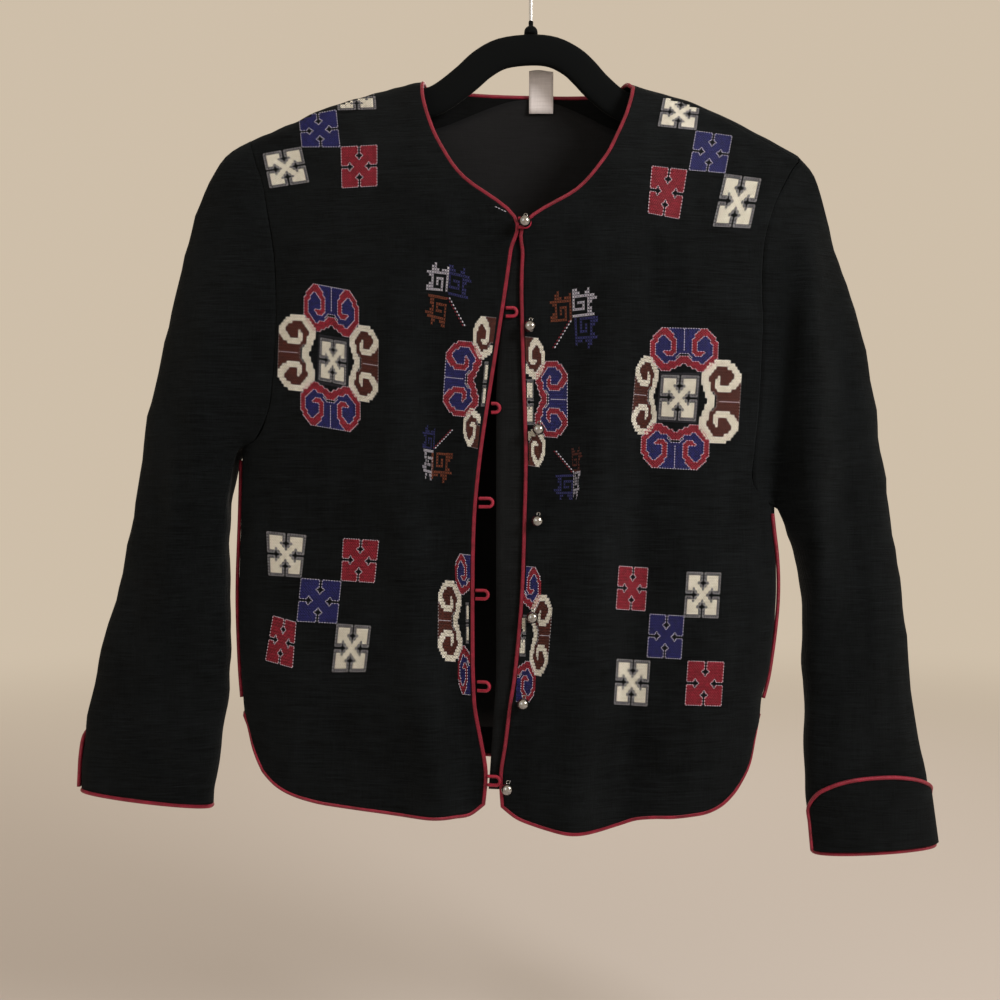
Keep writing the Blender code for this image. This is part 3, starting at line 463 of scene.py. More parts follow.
def sleeve_folds(p, s):
    """Depth added to a place on a sleeve, s being its share of the way to the front."""
    total = 0.0
    for f in SLEEVE_FOLDS:
        t = (f.z_top - p.z) / (f.z_top - f.z_foot)
        if 0 < t < 1 and (s < 0) == bool(f.back) and (p.x < 0) == (f.x_top < 0):
            middle = f.x_top + (f.x_foot - f.x_top) * t
            fade = min(1.0, 4 * t * (1 - t) * 1.4)
            total += f.out * fade * math.exp(-((p.x - middle) / f.width) ** 2) * min(1.0, abs(s) * 1.6)
    return total if s < 0 else -total


def sleeve_grid(front, back, rings):
    """Rings of the sleeve, of points and normals. Each starts at the outer fold and runs down the front."""
    low = FREE + SEAM
    head = [front[j][-1] for j in range(len(front) - 1, low - 1, -1)]
    tail = [back[j] for j in range(low, len(back))]
    ring = [((head[0][0] + tail[-1][0]) / 2, (head[0][1] + tail[-1][1]).normalized())]
    ring += head[1:-1]
    ring.append(((head[-1][0] + tail[0][0]) / 2, (head[-1][1] + tail[0][1]).normalized()))
    ring += tail[1:-1]
    half = len(head) - 1
    count = 2 * half
    lengths = [0.0]
    for i in range(count):
        lengths.append(lengths[-1] + (ring[(i + 1) % count][0] - ring[i][0]).length)
    theta = []
    for i in range(count):
        if i <= half:
            theta.append(math.pi * lengths[i] / lengths[half])
        else:
            theta.append(math.pi + math.pi * (lengths[i] - lengths[half]) / (lengths[count] - lengths[half]))
    top, under = ring[0][0], ring[half][0]
    places = []
    for r in rings:
        o, i_ = Vector((r.ox, 0, r.oz)), Vector((r.ix, 0, r.iz))
        row = []
        for k in range(count):
            c = math.cos(theta[k])
            w = (1 - c) / 2
            oval = (o + i_) / 2 + (o - i_) / 2 * c
            s = math.sin(theta[k])
            oval.y = -r.deep * math.copysign(abs(s) ** 0.8, s)
            moved = ring[k][0] + (o - top).lerp(i_ - under, w)
            p = moved.lerp(oval, r.oval)
            row.append(p + Vector((0, sleeve_folds(p, s), 0)))
        places.append(row)
    rows = [[p for p, _ in ring]] + places

    def normals(row, up, down):
        """Outward normals of a ring, lengthened at its folds so that an offset wall keeps its thickness."""
        line = []
        middle = sum(row, Vector()) / count
        for k in range(count):
            a = down[k] - up[k]
            before = a.cross(row[k] - row[k - 1]).normalized()
            n = (before + a.cross(row[(k + 1) % count] - row[k]).normalized()).normalized()
            n = n / max(0.6, n.dot(before))
            line.append(n if n.dot(row[k] - middle) > 0 else -n)
        return line

    grid = []
    for j, row in enumerate(rows):
        up, down = rows[max(0, j - 1)], rows[min(len(rows) - 1, j + 1)]
        line = normals(row, up, down)
        if j < 2:
            line = [(line[k - 1] + line[k] * 2 + line[(k + 1) % count]) / 4 for k in range(count)]
            line = [n.normalized() for n in line]
        grid.append(list(zip(row, line)))
    # The first ring lies inside the armhole, GAP off its edge
    start = []
    for k in range(count):
        p, n = ring[k]
        own = grid[0][k][1]
        way = (ring[(k + 1) % count][0] - ring[k - 1][0]).cross(n).normalized()
        way *= 1 if top.x < 0 else -1
        start.append((p + way * (GAP + 1.5 * abs(own.normalized().dot(way))), own))
    grid[0] = start
    return grid


def sleeve_at(grid, line, up):
    """A place on a line of the sleeve, up mm above its end."""
    count = len(grid[0])
    column = [grid[j][line % count] for j in range(len(grid) - 1, -1, -1)]
    s = 0.0
    for (p, n), (q, m) in zip(column, column[1:]):
        d = (q - p).length
        if s + d >= up:
            w = (up - s) / d
            return p.lerp(q, w), n.lerp(m, w).normalized()
        s += d
    return column[-1]


def flap_grid(grid, flap, rows, lift):
    last = grid[-1]
    count = len(last)
    lines = range(flap.first, flap.last + 1)
    lengths = [0.0]
    for a in list(lines)[1:]:
        lengths.append(lengths[-1] + (last[a % count][0] - last[(a - 1) % count][0]).length)
    out = []
    for j in range(rows + 1):
        row = []
        for line, s in zip(lines, lengths):
            c = s / lengths[-1]
            high = flap.foot + (CUFF_HIGH - flap.foot) * max(0.0, 1 - abs(2 * c - 1) ** 2.4) ** 0.6
            p, n = sleeve_at(grid, line, 0.4 + high * j / rows)
            row.append((p + n * lift, n))
        out.append(row)
    return out


def front_place(x, z):
    return body_frame(-1, *coordinates(Edge(x, z)))


def edge_x(rows, z):
    """x of a front edge at a height."""
    places = [(r.z, r.x) for r in rows]
    places.sort()
    for (z0, x0), (z1, x1) in zip(places, places[1:]):
        if z0 <= z <= z1:
            return x0 + (x1 - x0) * (z - z0) / (z1 - z0)
    return places[-1][1]


# Hanger: middle line of the arms and the arch, with their height
Arm = namedtuple("Arm", "x z high")
ARCH = {
    -1: [Arm(-80, -159.5, 24), Arm(-68, -153, 24), Arm(-52, -140.5, 24.5), Arm(-39, -129, 25),
         Arm(-23, -120.5, 25)],
    1: [Arm(81, -166, 24), Arm(67, -159, 24), Arm(52.6, -146.5, 24.5), Arm(43, -136, 25), Arm(33, -127, 25),
        Arm(18, -119.5, 25)],
}


def hanger_rows():
    rows = []
    for s, tip in ((-1, -213.0), (1, 202.0)):
        side = []
        for i in range(10):
            x = tip + (s * 94 - tip) * i / 9
            high = 13 + 11 * min(1.0, i / 6)
            side.append(Arm(x, ridge(x) - REST - high / 2 - (3 if s > 0 else 0) * i / 9, high))
        rows.append(side + ARCH[s])
    return rows[0] + [Arm(0, -117.6, 25)] + rows[1][::-1]


# Finer pieces for the render
FINE = 5


def refine(grid, n, closed=False):
    grid = catmull(grid, n)
    return np.swapaxes(catmull(np.swapaxes(grid, 0, 1), n, closed), 0, 1)


def grid_normals(P, closed=False):
    if closed:
        across = np.roll(P, -1, 1) - np.roll(P, 1, 1)
    else:
        across = np.gradient(P, axis=1)
    n = np.cross(across, np.gradient(P, axis=0))
    return n / np.maximum(1e-9, np.linalg.norm(n, axis=2, keepdims=True))


def creases(P, amount, lengths, seed, fade=6):
    """Small soft wrinkles: noise drawn out along lengths, fading to nothing at the edges of the grid."""
    rows, cols = P.shape[:2]
    out = np.zeros((rows, cols))
    for j in range(rows):
        for i in range(cols):
            x, y, z = P[j, i]
            out[j, i] = noise.noise(Vector((x / lengths[0] + seed, y / lengths[1], z / lengths[2])))
    edge = np.minimum(np.minimum(np.arange(rows), np.arange(rows)[::-1])[:, None],
                      np.minimum(np.arange(cols), np.arange(cols)[::-1])[None, :]) / fade
    return amount * out * np.clip(edge, 0, 1)


def add(name, verts, faces, mat, uv=None):
    mesh = bpy.data.meshes.new(name)
    mesh.from_pydata((np.asarray(verts) * MM).tolist(), [], faces)
    mesh.shade_smooth()
    obj = bpy.data.objects.new(name, mesh)
    scene.collection.objects.link(obj)
    for m in mat if isinstance(mat, (list, tuple)) else [mat]:
        mesh.materials.append(m)
    if uv is not None:
        layer = mesh.uv_layers.new(name="UVMap")
        index = np.empty(len(mesh.loops), np.int32)
        mesh.loops.foreach_get("vertex_index", index)
        layer.data.foreach_set("uv", np.asarray(uv, np.float32)[index].ravel())
    return obj


def wall(name, P, N, thick, outer, inner, closed=False):
    """A closed wall with its outer and inner cloth."""
    rows, cols = P.shape[:2]
    verts = np.concatenate([(P + N * thick / 2).reshape(-1, 3), (P - N * thick / 2).reshape(-1, 3)])
    far = rows * cols
    faces = []
    for j in range(rows - 1):
        for i in range(cols if closed else cols - 1):
            a, b = j * cols + i, j * cols + (i + 1) % cols
            faces.append((a, b, b + cols, a + cols))
    n_outer = len(faces)
    faces += [(a + far, d + far, c + far, b + far) for a, b, c, d in faces]
    if closed:
        rings = [list(range(cols)) + [0], [(rows - 1) * cols + (-i) % cols for i in range(cols + 1)]]
    else:
        rim = [j * cols for j in range(rows - 1, 0, -1)] + list(range(cols))
        rim += [j * cols + cols - 1 for j in range(1, rows)] + [far - 1 - i for i in range(1, cols - 1)]
        rings = [rim + rim[:1]]
    for ring in rings:
        faces += [(b, a, a + far, b + far) for a, b in zip(ring, ring[1:])]
    a, b, c, _ = (Vector(verts[k]) for k in faces[n_outer // 2])
    k = faces[n_outer // 2][0]
    if (b - a).cross(c - b).dot(Vector(N.reshape(-1, 3)[k])) < 0:
        faces = [(f[0], *f[:0:-1]) for f in faces]
    obj = add(name, verts, faces, [outer, inner])
    index = np.zeros(len(faces), np.int32)
    index[n_outer:2 * n_outer] = 1
    obj.data.polygons.foreach_set("material_index", index)
    return obj


def tube_faces(n, sides, closed=False):
    """Faces of a tube of n rings, capped unless it is closed."""
    faces = []
    for k in range(n if closed else n - 1):
        here, there = k * sides, (k + 1) % n * sides
        for s in range(sides):
            t = (s + 1) % sides
            faces.append((here + s, here + t, there + t, there + s))
    if not closed:
        faces += [tuple(range(sides))[::-1], tuple((n - 1) * sides + s for s in range(sides))]
    return faces


def rope(name, path, radius, mat, sides=10, closed=False, steps=4, taper=None):
    """A smooth round cord along points, with its length and turn kept as UV."""
    path = catmull([list(p) for p in path], steps, closed)
    n = len(path)
    if closed:
        tangent = np.roll(path, -1, 0) - np.roll(path, 1, 0)
    else:
        tangent = np.gradient(path, axis=0)
    tangent /= np.linalg.norm(tangent, axis=1, keepdims=True)
    side = np.cross(tangent[0], (0.3, 0.1, 1.0) if abs(tangent[0][2]) < 0.8 else (1.0, 0.2, 0))
    verts, uv, run = [], [], 0.0
    for k in range(n):
        side = side - tangent[k] * side.dot(tangent[k])
        side /= np.linalg.norm(side)
        up = np.cross(tangent[k], side)
        r = radius * (taper[k] if taper is not None else 1)
        if k:
            run += np.linalg.norm(path[k] - path[k - 1])
        for s in range(sides):
            w = 2 * math.pi * s / sides
            verts.append(path[k] + side * r * math.cos(w) + up * r * math.sin(w))
            uv.append((run, s / sides))
    return add(name, verts, tube_faces(n, sides, closed), mat, uv)


# Materials
def shader(name, base, rough, **values):
    m = bpy.data.materials.new(name)
    m.use_nodes = True
    tree = m.node_tree
    b = tree.nodes["Principled BSDF"]
    b.inputs["Base Color"].default_value = (*base, 1)
    b.inputs["Roughness"].default_value = rough
    for key, value in values.items():
        b.inputs[key.replace("_", " ")].default_value = value
    return m, tree, b


def node(tree, kind, **values):
    n = tree.nodes.new(kind)
    for key, value in values.items():
        if hasattr(n, key):
            setattr(n, key, value)
        else:
            n.inputs[key.replace("_", " ")].default_value = value
    return n


def stretched(tree, scale, source="Object"):
    at = node(tree, "ShaderNodeTexCoord")
    mapping = node(tree, "ShaderNodeMapping")
    mapping.inputs["Scale"].default_value = scale
    tree.links.new(at.outputs[source], mapping.inputs["Vector"])
    return mapping.outputs["Vector"]


def threads(tree, scale, detail=2.0, rough=0.6):
    n = node(tree, "ShaderNodeTexNoise", Scale=1.0, Detail=detail, Roughness=rough)
    tree.links.new(stretched(tree, scale), n.inputs["Vector"])
    return n.outputs["Fac"]


def mixed(tree, fac, low, high, at=(0.35, 0.7)):
    ramp = node(tree, "ShaderNodeValToRGB")
    ramp.color_ramp.elements[0].color = (*low, 1)
    ramp.color_ramp.elements[1].color = (*high, 1)
    ramp.color_ramp.elements[0].position, ramp.color_ramp.elements[1].position = at
    tree.links.new(fac, ramp.inputs["Fac"])
    return ramp.outputs["Color"]


def sums(tree, *parts):
    total = None
    for out, share in parts:
        m = node(tree, "ShaderNodeMath", operation="MULTIPLY")
        tree.links.new(out, m.inputs[0])
        m.inputs[1].default_value = share
        if total is None:
            total = m.outputs[0]
        else:
            s = node(tree, "ShaderNodeMath", operation="ADD")
            tree.links.new(total, s.inputs[0])
            tree.links.new(m.outputs[0], s.inputs[1])
            total = s.outputs[0]
    return total


def bands(tree, direction, period, distortion=0.6, source="Object", scale=(1, 1, 1)):
    w = node(tree, "ShaderNodeTexWave", bands_direction=direction, Scale=0.31416 / period, Distortion=distortion)
    w.inputs["Detail"].default_value = 2.0
    w.inputs["Detail Scale"].default_value = 2.0
    tree.links.new(stretched(tree, scale, source), w.inputs["Vector"])
    return w.outputs["Fac"]


def bump(tree, b, height, distance, strength=1.0):
    n = node(tree, "ShaderNodeBump", Distance=distance, Strength=strength)
    tree.links.new(height, n.inputs["Height"])
    tree.links.new(n.outputs["Normal"], b.inputs["Normal"])


def woven(name, low, high, rough, weave, slub, depth, sheen=0.03):
    """Plain weave: warp and weft threads with slubs that run across and down."""
    m, tree, b = shader(name, low, rough, Sheen_Weight=sheen, Sheen_Roughness=0.45,
                        Sheen_Tint=(0.62, 0.72, 0.8, 1), Specular_IOR_Level=0.07)
    across = threads(tree, (45, 45, slub), 3.0)
    down = threads(tree, (slub, slub, 40), 3.0)
    patch = threads(tree, (24, 24, 17), 4.0)
    fac = sums(tree, (across, 0.5), (down, 0.24), (patch, 0.26))
    tree.links.new(mixed(tree, fac, low, high, (0.38, 0.66)), b.inputs["Base Color"])
    height = sums(tree, (bands(tree, "X", weave), 0.3), (bands(tree, "Z", weave * 1.15), 0.4),
                  (across, 0.9), (down, 0.5))
    bump(tree, b, height, depth)
    return m


def thread_stuff(name, low, high, rough=0.5, sheen=0.04):
    """Embroidery thread: strands that lie across each stitch, with its shade a little uneven."""
    m, tree, b = shader(name, low, rough, Sheen_Weight=sheen, Specular_IOR_Level=0.3)
    fac = threads(tree, (430, 430, 430), 1.0)
    tree.links.new(mixed(tree, fac, low, high, (0.3, 0.72)), b.inputs["Base Color"])
    bump(tree, b, threads(tree, (2600, 2600, 900), 2.0), 0.00025, 0.7)
    return m


def corded(name, low, high):
    """Bias-cut cover of a cord, its fine wale running round on the slant."""
    m, tree, b = shader(name, low, 0.45, Sheen_Weight=0.06, Specular_IOR_Level=0.35)
    fac = threads(tree, (150, 150, 150), 3.0)
    tree.links.new(mixed(tree, fac, low, high, (0.3, 0.7)), b.inputs["Base Color"])
    wale = bands(tree, "DIAGONAL", 0.33, 0.4, "UV", (0.55, 2.6, 1))
    bump(tree, b, sums(tree, (wale, 1.0), (fac, 0.8)), 0.00022, 0.8)
    return m


def metal(name, base, rough, dark_reflection_and_wear):
    m, tree, b = shader(name, base, rough, Metallic=1.0)
    # The base colour is mottled toward a darker tone in patches: partly uneven wear, partly a painted dark
    # reflection.
    fac = threads(tree, (420, 420, 420), 4.0)
    tree.links.new(mixed(tree, fac, dark_reflection_and_wear, base, (0.3, 0.52)), b.inputs["Base Color"])
    ramp = node(tree, "ShaderNodeMapRange")
    ramp.inputs["To Min"].default_value = rough * 0.7
    ramp.inputs["To Max"].default_value = rough * 1.5
    tree.links.new(fac, ramp.inputs["Value"])
    tree.links.new(ramp.outputs["Result"], b.inputs["Roughness"])
    bump(tree, b, threads(tree, (900, 900, 900), 2.0), 0.0001, 0.4)
    return m


BLACK = woven("black_hemp", (0.0006, 0.0010, 0.0013), (0.0078, 0.0100, 0.0118), 0.86, 0.00075, 1500, 0.0007)
LAP = woven("faded_hemp", (0.0030, 0.0034, 0.0038), (0.0105, 0.0120, 0.0135), 0.86, 0.00075, 1500, 0.00045)
INSIDE = woven("hemp_inside", (0.0020, 0.0022, 0.0025), (0.006, 0.0066, 0.0074), 0.88, 0.00075, 1500, 0.0003)
LINING = woven("charcoal_lining", (0.0075, 0.0078, 0.0090), (0.0115, 0.0120, 0.0138), 0.5, 0.0004, 900, 0.00012)
PIPING = corded("crimson_piping", (0.15, 0.0030, 0.014), (0.27, 0.0075, 0.032))
LOOPING = corded("crimson_loop", (0.22, 0.0035, 0.018), (0.36, 0.009, 0.040))
# Silver: its base colour is kept low and mottled darker, a painted dark reflection.
SILVER = metal("silver", (0.42, 0.42, 0.42), 0.13, (0.17, 0.17, 0.17))
STEEL = metal("steel_wire", (0.62, 0.62, 0.63), 0.28, (0.45, 0.45, 0.45))
TAPE = woven("white_tape", (0.64, 0.60, 0.62), (0.78, 0.74, 0.76), 0.75, 0.0005, 900, 0.00012, 0.1)
VELVET, tree, b = shader("black_velvet", (0.0035, 0.0042, 0.0048), 0.95, Sheen_Weight=0.05, Sheen_Roughness=0.35,
                         Specular_IOR_Level=0.06)
bump(tree, b, threads(tree, (2400, 2400, 2400), 2.0), 0.0003, 0.8)
THREADS = {
    "white": thread_stuff("thread_white", (0.66, 0.63, 0.54), (0.90, 0.88, 0.80)),
    "red": thread_stuff("thread_red", (0.17, 0.0035, 0.014), (0.32, 0.009, 0.032)),
    "blue": thread_stuff("thread_blue", (0.0038, 0.0045, 0.072), (0.009, 0.0105, 0.145)),
    "brown": thread_stuff("thread_brown", (0.046, 0.0065, 0.003), (0.092, 0.014, 0.006)),
    "orange": thread_stuff("thread_orange", (0.10, 0.020, 0.006), (0.19, 0.042, 0.013)),
    "pale": thread_stuff("thread_pale", (0.34, 0.33, 0.42), (0.54, 0.53, 0.62)),
    "grey": thread_stuff("thread_grey", (0.13, 0.13, 0.15), (0.24, 0.24, 0.27)),
    "ink": thread_stuff("thread_ink", (0.008, 0.010, 0.075), (0.020, 0.022, 0.14)),
    "navy": thread_stuff("thread_navy", (0.0015, 0.002, 0.007), (0.004, 0.005, 0.015)),
}
NAMES = list(THREADS)

# Cloth
coarse_front = {side: front_pairs(side) for side in ("right", "left")}
coarse_back = back_pairs()
fronts = {side: frames(-1, coarse_front[side]) for side in ("right", "left")}
back = frames(1, coarse_back)
pieces = {}


def outward_grid(P, rough):
    """Normals of a fine grid, turned to the side of a coarse one."""
    N = grid_normals(P)
    rows, cols = P.shape[:2]
    return -N if N[rows // 2, cols // 2].dot(np.array(rough)) < 0 else N


def ring_normals(P):
    """Outward normals of a fine grid that is closed to rings."""
    N = grid_normals(P, True)
    return -N if ((P - P.mean(axis=1, keepdims=True)) * N).sum() < 0 else N


def arrays(grid):
    """Rows of places and normals as two arrays."""
    return (np.array([[v[k][:] for v in row] for row in grid]) for k in (0, 1))


def panel(name, face, pairs, coarse, wrinkles):
    """A panel of the body: its fine grid with small wrinkles, kept in fine, and its wall."""
    P = np.array([[body(face, u, v)[:] for u, v in row] for row in refine(np.array(pairs), FINE)])
    rough = coarse[len(coarse) // 2][len(coarse[0]) // 2][1]
    N = outward_grid(P, rough)
    for amount, lengths, seed in wrinkles:
        P = P + N * creases(P, amount, lengths, seed)[:, :, None]
    N = outward_grid(P, rough)
    fine[name] = P, N
    pieces[name] = wall(name + "_cloth", P, N, CLOTH, BLACK, INSIDE)


COVERED = CORD + 0.1  # radius of the piping in its cover
trees, fine = {}, {}
for side, seed in (("right", 9.0), ("left", 3.0)):
    wrinkles = [(1.5, (14, 30, 75), seed), (0.7, (34, 30, 11), 5.0)]
    panel("front_" + side, -1, coarse_front[side], fronts[side], wrinkles)
    P, N = fine["front_" + side]
    rows, cols = P.shape[:2]
    trees[side] = BVHTree.FromPolygons(
        [Vector(p) for p in ((P + N * CLOTH / 2) * MM).reshape(-1, 3)],
        [(j * cols + i, j * cols + i + 1, (j + 1) * cols + i + 1, (j + 1) * cols + i)
         for j in range(rows - 1) for i in range(cols - 1)])
panel("back", 1, coarse_back, back, [(1.8, (22, 30, 90), 13.0)])

for side, rings in (("right", RIGHT_RINGS), ("left", LEFT_RINGS)):
    column = 0 if side == "right" else -1
    grid = sleeve_grid(fronts[side], [row[column] for row in back], rings)
    P = refine([[p[:] for p, _ in row] for row in grid], 4, closed=True)
    N = ring_normals(P)
    rows = P.shape[0]
    rise = np.clip(np.minimum(np.arange(rows), (np.arange(rows)[::-1] + 2) * 2) / 14, 0, 1)[:, None]
    drag = np.zeros(P.shape[:2])
    for j in range(rows):
        for i in range(P.shape[1]):
            x, y, z = P[j, i]
            slant = x * (0.9 if side == "right" else -0.9) + z
            drag[j, i] = (2.2 * noise.noise(Vector((slant / 26, (x - z * 0.2) / 95, y / 60 + 2)))
                          + 0.8 * noise.noise(Vector((x / 12, z / 40, y / 20 + 7))))
    P = P + N * (drag * rise)[:, :, None]
    N = ring_normals(P)
    pieces["sleeve_" + side] = wall("sleeve_" + side + "_cloth", P, N, CLOTH, BLACK, INSIDE, closed=True)
    flap = flap_grid(grid, FLAPS[side], 3, CLOTH + GAP + 0.35)
    P = refine([[p[:] for p, _ in row] for row in flap], FINE)
    N = outward_grid(P, flap[2][len(flap[0]) // 2][1])
    pieces["cuff_" + side] = wall("cuff_" + side + "_cloth", P, N, CLOTH, BLACK, INSIDE)
    border = [row[0] for row in flap] + flap[-1][1:-1] + [row[-1] for row in flap[::-1]]
    border = [(p + n * 0.5, n) for p, n in border]
    hand = -1 if side == "right" else 1
    pieces["cuff_cord_" + side] = rope("cuff_piping_" + side, edge_cord(border, hand), COVERED, PIPING)
    last, before = grid[-1], grid[-2]
    hem = [last[k][0] + (last[k][0] - before[k][0]).normalized() * (CORD + GAP) for k in range(len(last))]
    pieces["sleeve_cord_" + side] = rope("sleeve_piping_" + side, hem, COVERED, PIPING, closed=True)


def rim(piece, cells):
    """Places and normals at cells of a fine grid."""
    P, N = fine[piece]
    return [(Vector(P[c]), Vector(N[c])) for c in cells]


TUCKED = CORD * 0.8  # from the cloth's edge to the middle of the piping
START = round((FREE - 0.45) * FINE)  # where the piping of a vent begins
paths = {}
for side, hand in (("right", 1), ("left", -1)):
    rows, cols = fine["front_" + side][0].shape[:2]
    cells = [(j, cols - 1) for j in range(START, 0, -1)] + [(0, i) for i in range(cols - 1, 0, -1)]
    cells += [(j, 0) for j in range(rows)]
    paths[side] = edge_cord(rim("front_" + side, cells), hand, TUCKED)
rows, cols = fine["back"][0].shape[:2]
neck = range(SEAM_COLUMNS * FINE, (SEAM_COLUMNS + NECK_COLUMNS) * FINE + 1)
behind = edge_cord(rim("back", [(rows - 1, i) for i in neck]), 1, TUCKED)
ends = [(paths["right"][-1] + behind[0]) / 2, (paths["left"][-1] + behind[-1]) / 2]
whole = paths["right"][:-1] + ends[:1] + behind[1:-1] + ends[1:] + paths["left"][-2::-1]
pieces["edge_cord"] = rope("edge_piping", whole, COVERED, PIPING, steps=1)
cells = [(j, 0) for j in range(START, 0, -1)] + [(0, i) for i in range(cols)]
cells += [(j, cols - 1) for j in range(1, START + 1)]
pieces["back_hem_cord"] = rope("back_hem_piping", edge_cord(rim("back", cells), -1, TUCKED), COVERED, PIPING,
                               steps=1)
for side in ("right", "left"):
    column = 0 if side == "right" else -1
    path = []
    for j in range(FREE, FREE + SEAM + 1):
        (p, n), (q, m) = fronts[side][j][-1], back[j][column]
        path.append((p + q) / 2 + (n + m).normalized() * (CLOTH / 2 + CORD + GAP + 0.1))
    path[-1] = path[-1].lerp(path[-2], 0.35)
    path[0] = path[0].lerp(path[1], 0.15)
    pieces["side_cord_" + side] = rope("side_piping_" + side, path, CORD, PIPING)

# Underlap, lining and label
LINING_RIGHT, LINING_WIDE, LINING_FOOT = -140, 255, -672
grid = []
for j in range(25):
    z = LAP_TOP + (LAP_FOOT - LAP_TOP) * j / 24
    x0 = -20 - 8 * min(1.0, (-276 - z) / 120) - 5 * max(0.0, (-620 - z) / 70)
    x1 = edge_x(LEFT_EDGE, z) + 14
    grid.append([front_place(x0 + (x1 - x0) * i / 8, z) for i in range(9)])
shift = CORD + GAP + CLOTH / 2 + 0.1
P, N = arrays(grid)
P = P - N * shift
pieces["button_underlap"] = wall("button_underlap_cloth", P, N, CLOTH, LAP, INSIDE)
grid = []
for j in range(41):
    line = []
    for i in range(41):
        x = LINING_RIGHT + LINING_WIDE * i / 40
        top_z = ridge(x) - drop(-30 + 7.5 * math.cos(math.pi * min(1.0, abs(x) / 75)))
        z = top_z + (LINING_FOOT - top_z) * (j / 40) ** 1.15
        line.append(body_frame(1, *coordinates(Edge(x, z))))
    grid.append(line)
P, N = arrays(grid)
P = P - N * (CLOTH / 2 + 1.5 + THIN / 2)
pieces["back_lining"] = wall("back_lining_cloth", P, N, THIN, LINING, LINING)
p, _ = body_frame(1, *coordinates(Edge(9, -158)))
y = p.y - CLOTH - 1.1 - THIN - 2 * GAP - 2.5
P = np.array([[(-1 + 20 * i / 8, y - 1.5 * (j / 3 - 1) - 1.2 * math.sin(i / 8 * 3.0) * j / 6,
                -162 + 17 * j / 3 + 0.6 * math.sin(i * 0.6) * (j == 6)) for i in range(9)] for j in range(7)])
N = np.zeros(P.shape)
N[:, :, 1] = 1
pieces["neck_label"] = wall("neck_label_tape", P, N, THIN * 0.7, TAPE, TAPE)

# Loops and ball buttons
for k, loop in enumerate(LOOPS):
    p, n = front_place(edge_x(RIGHT_EDGE, loop.z), loop.z)
    out = (Vector((1, 0, 0)) - n * n.x).normalized()
    up = out.cross(n).normalized()
    path = [p + out * loop.root + up * loop.half]
    for i in range(7):
        w = math.pi * i / 6
        path.append(p + out * (loop.reach - loop.half * (1 - math.sin(w))) + up * loop.half * math.cos(w))
    path.append(p + out * loop.root - up * loop.half)
    path = [q + n * (loop.lift + 0.2) for q in path]
    pieces["button_loop_%d" % (k + 1)] = rope("loop_cord_%d" % (k + 1), path, LOOP, LOOPING, 12, steps=5)


def turned(name, profile, place, axis, steps, mat):
    turn = axis.to_track_quat("Z", "Y")
    verts = []
    for r, h in profile:
        for s in range(steps):
            w = 2 * math.pi * s / steps
            verts.append(place + turn @ Vector((r * math.cos(w), r * math.sin(w), h)))
    return add(name, verts, tube_faces(len(profile), steps), mat)


for k, b in enumerate(BUTTONS):
    p, n = front_place(b.x, b.z)
    foot = (CORD if k == 0 else CLOTH / 2) + GAP + 0.25
    low = foot + b.shank - 0.2
    profile = [(1.5, foot - 0.6), (1.6, foot - 0.2), (0.8, foot + 0.2), (0.8, low), (1.7, low + 0.1),
               (1.9, low + 0.45)]
    for i in range(3, 21):
        w = math.pi * i / 20.5
        r = BALL * math.sin(w) * (1 - 0.035 * math.exp(-((w - math.pi / 2) / 0.05) ** 2))
        profile.append((r, low + BALL * (1 - math.cos(w))))
    pieces["ball_button_%d" % (k + 1)] = turned("ball_%d" % (k + 1), profile, p, n, 28, SILVER)

# The small ring that each ball hangs by, above it
rings = []
for k, b in enumerate(BUTTONS):
    p, n = front_place(b.x, b.z)
    low = (CORD if k == 0 else CLOTH / 2) + GAP + 0.25 + b.shank - 0.2
    up = (Vector((0.12, 0, 1)) - n * n.z).normalized()
    centre = p + n * (low + BALL * 0.62) + up * (BALL * 0.93 + 0.9)
    side = up.cross(n)
    circle = [centre + (up * math.cos(w) + side * math.sin(w)) * 1.25
              for w in (2 * math.pi * i / 10 for i in range(10))]
    rings.append(rope("ball_ring_%d" % (k + 1), circle, 0.38, SILVER, 8, closed=True, steps=2))

# Hanger and hook
rows = hanger_rows()
line = catmull([(r.x, r.z, r.high) for r in rows], 4)
verts = []
sides = 20
for k, (x, z, high) in enumerate(line):
    a, b = line[max(0, k - 1)], line[min(len(line) - 1, k + 1)]
    tangent = np.array((b[0] - a[0], b[1] - a[1])) / math.hypot(b[0] - a[0], b[1] - a[1])
    end = min(1.0, min(k, len(line) - 1 - k) / 5 + 0.35) ** 0.5
    for s in range(sides):
        w = 2 * math.pi * s / sides
        u = math.copysign(abs(math.sin(w)) ** 0.75, math.sin(w)) * high / 2 * end
        verts.append((x - tangent[1] * u, 4 * math.copysign(abs(math.cos(w)) ** 0.7, math.cos(w)) * end,
                      z + tangent[0] * u))
pieces["hanger"] = add("velvet_hanger", verts, tube_faces(len(line), sides), VELVET)
foot = [(-104.8, 5.6), (-103.4, 5.5), (-101.2, 5.0), (-99.4, 3.6), (-98.7, 2.0), (-95.2, 1.95), (-94.7, 1.6)]
path = [(0, 0, z) for z, _ in foot] + [(0, 0, z) for z in (-94.2, -76.0, -60.0)]
swell = [r / WIRE for _, r in foot] + [1.0] * 20
for i in range(17):
    w = math.radians(-65 + 235 * i / 16)
    path.append((BEND * math.cos(w), 0, WIRE - BEND + BEND * math.sin(w)))
taper = catmull([[v] for v in swell], 3)[:, 0]
pieces["hook"] = rope("hook_wire", path, WIRE, [STEEL, VELVET], 16, steps=3, taper=taper)
for f in pieces["hook"].data.polygons:
    f.material_index = int(f.center.z < -94.8 * MM)

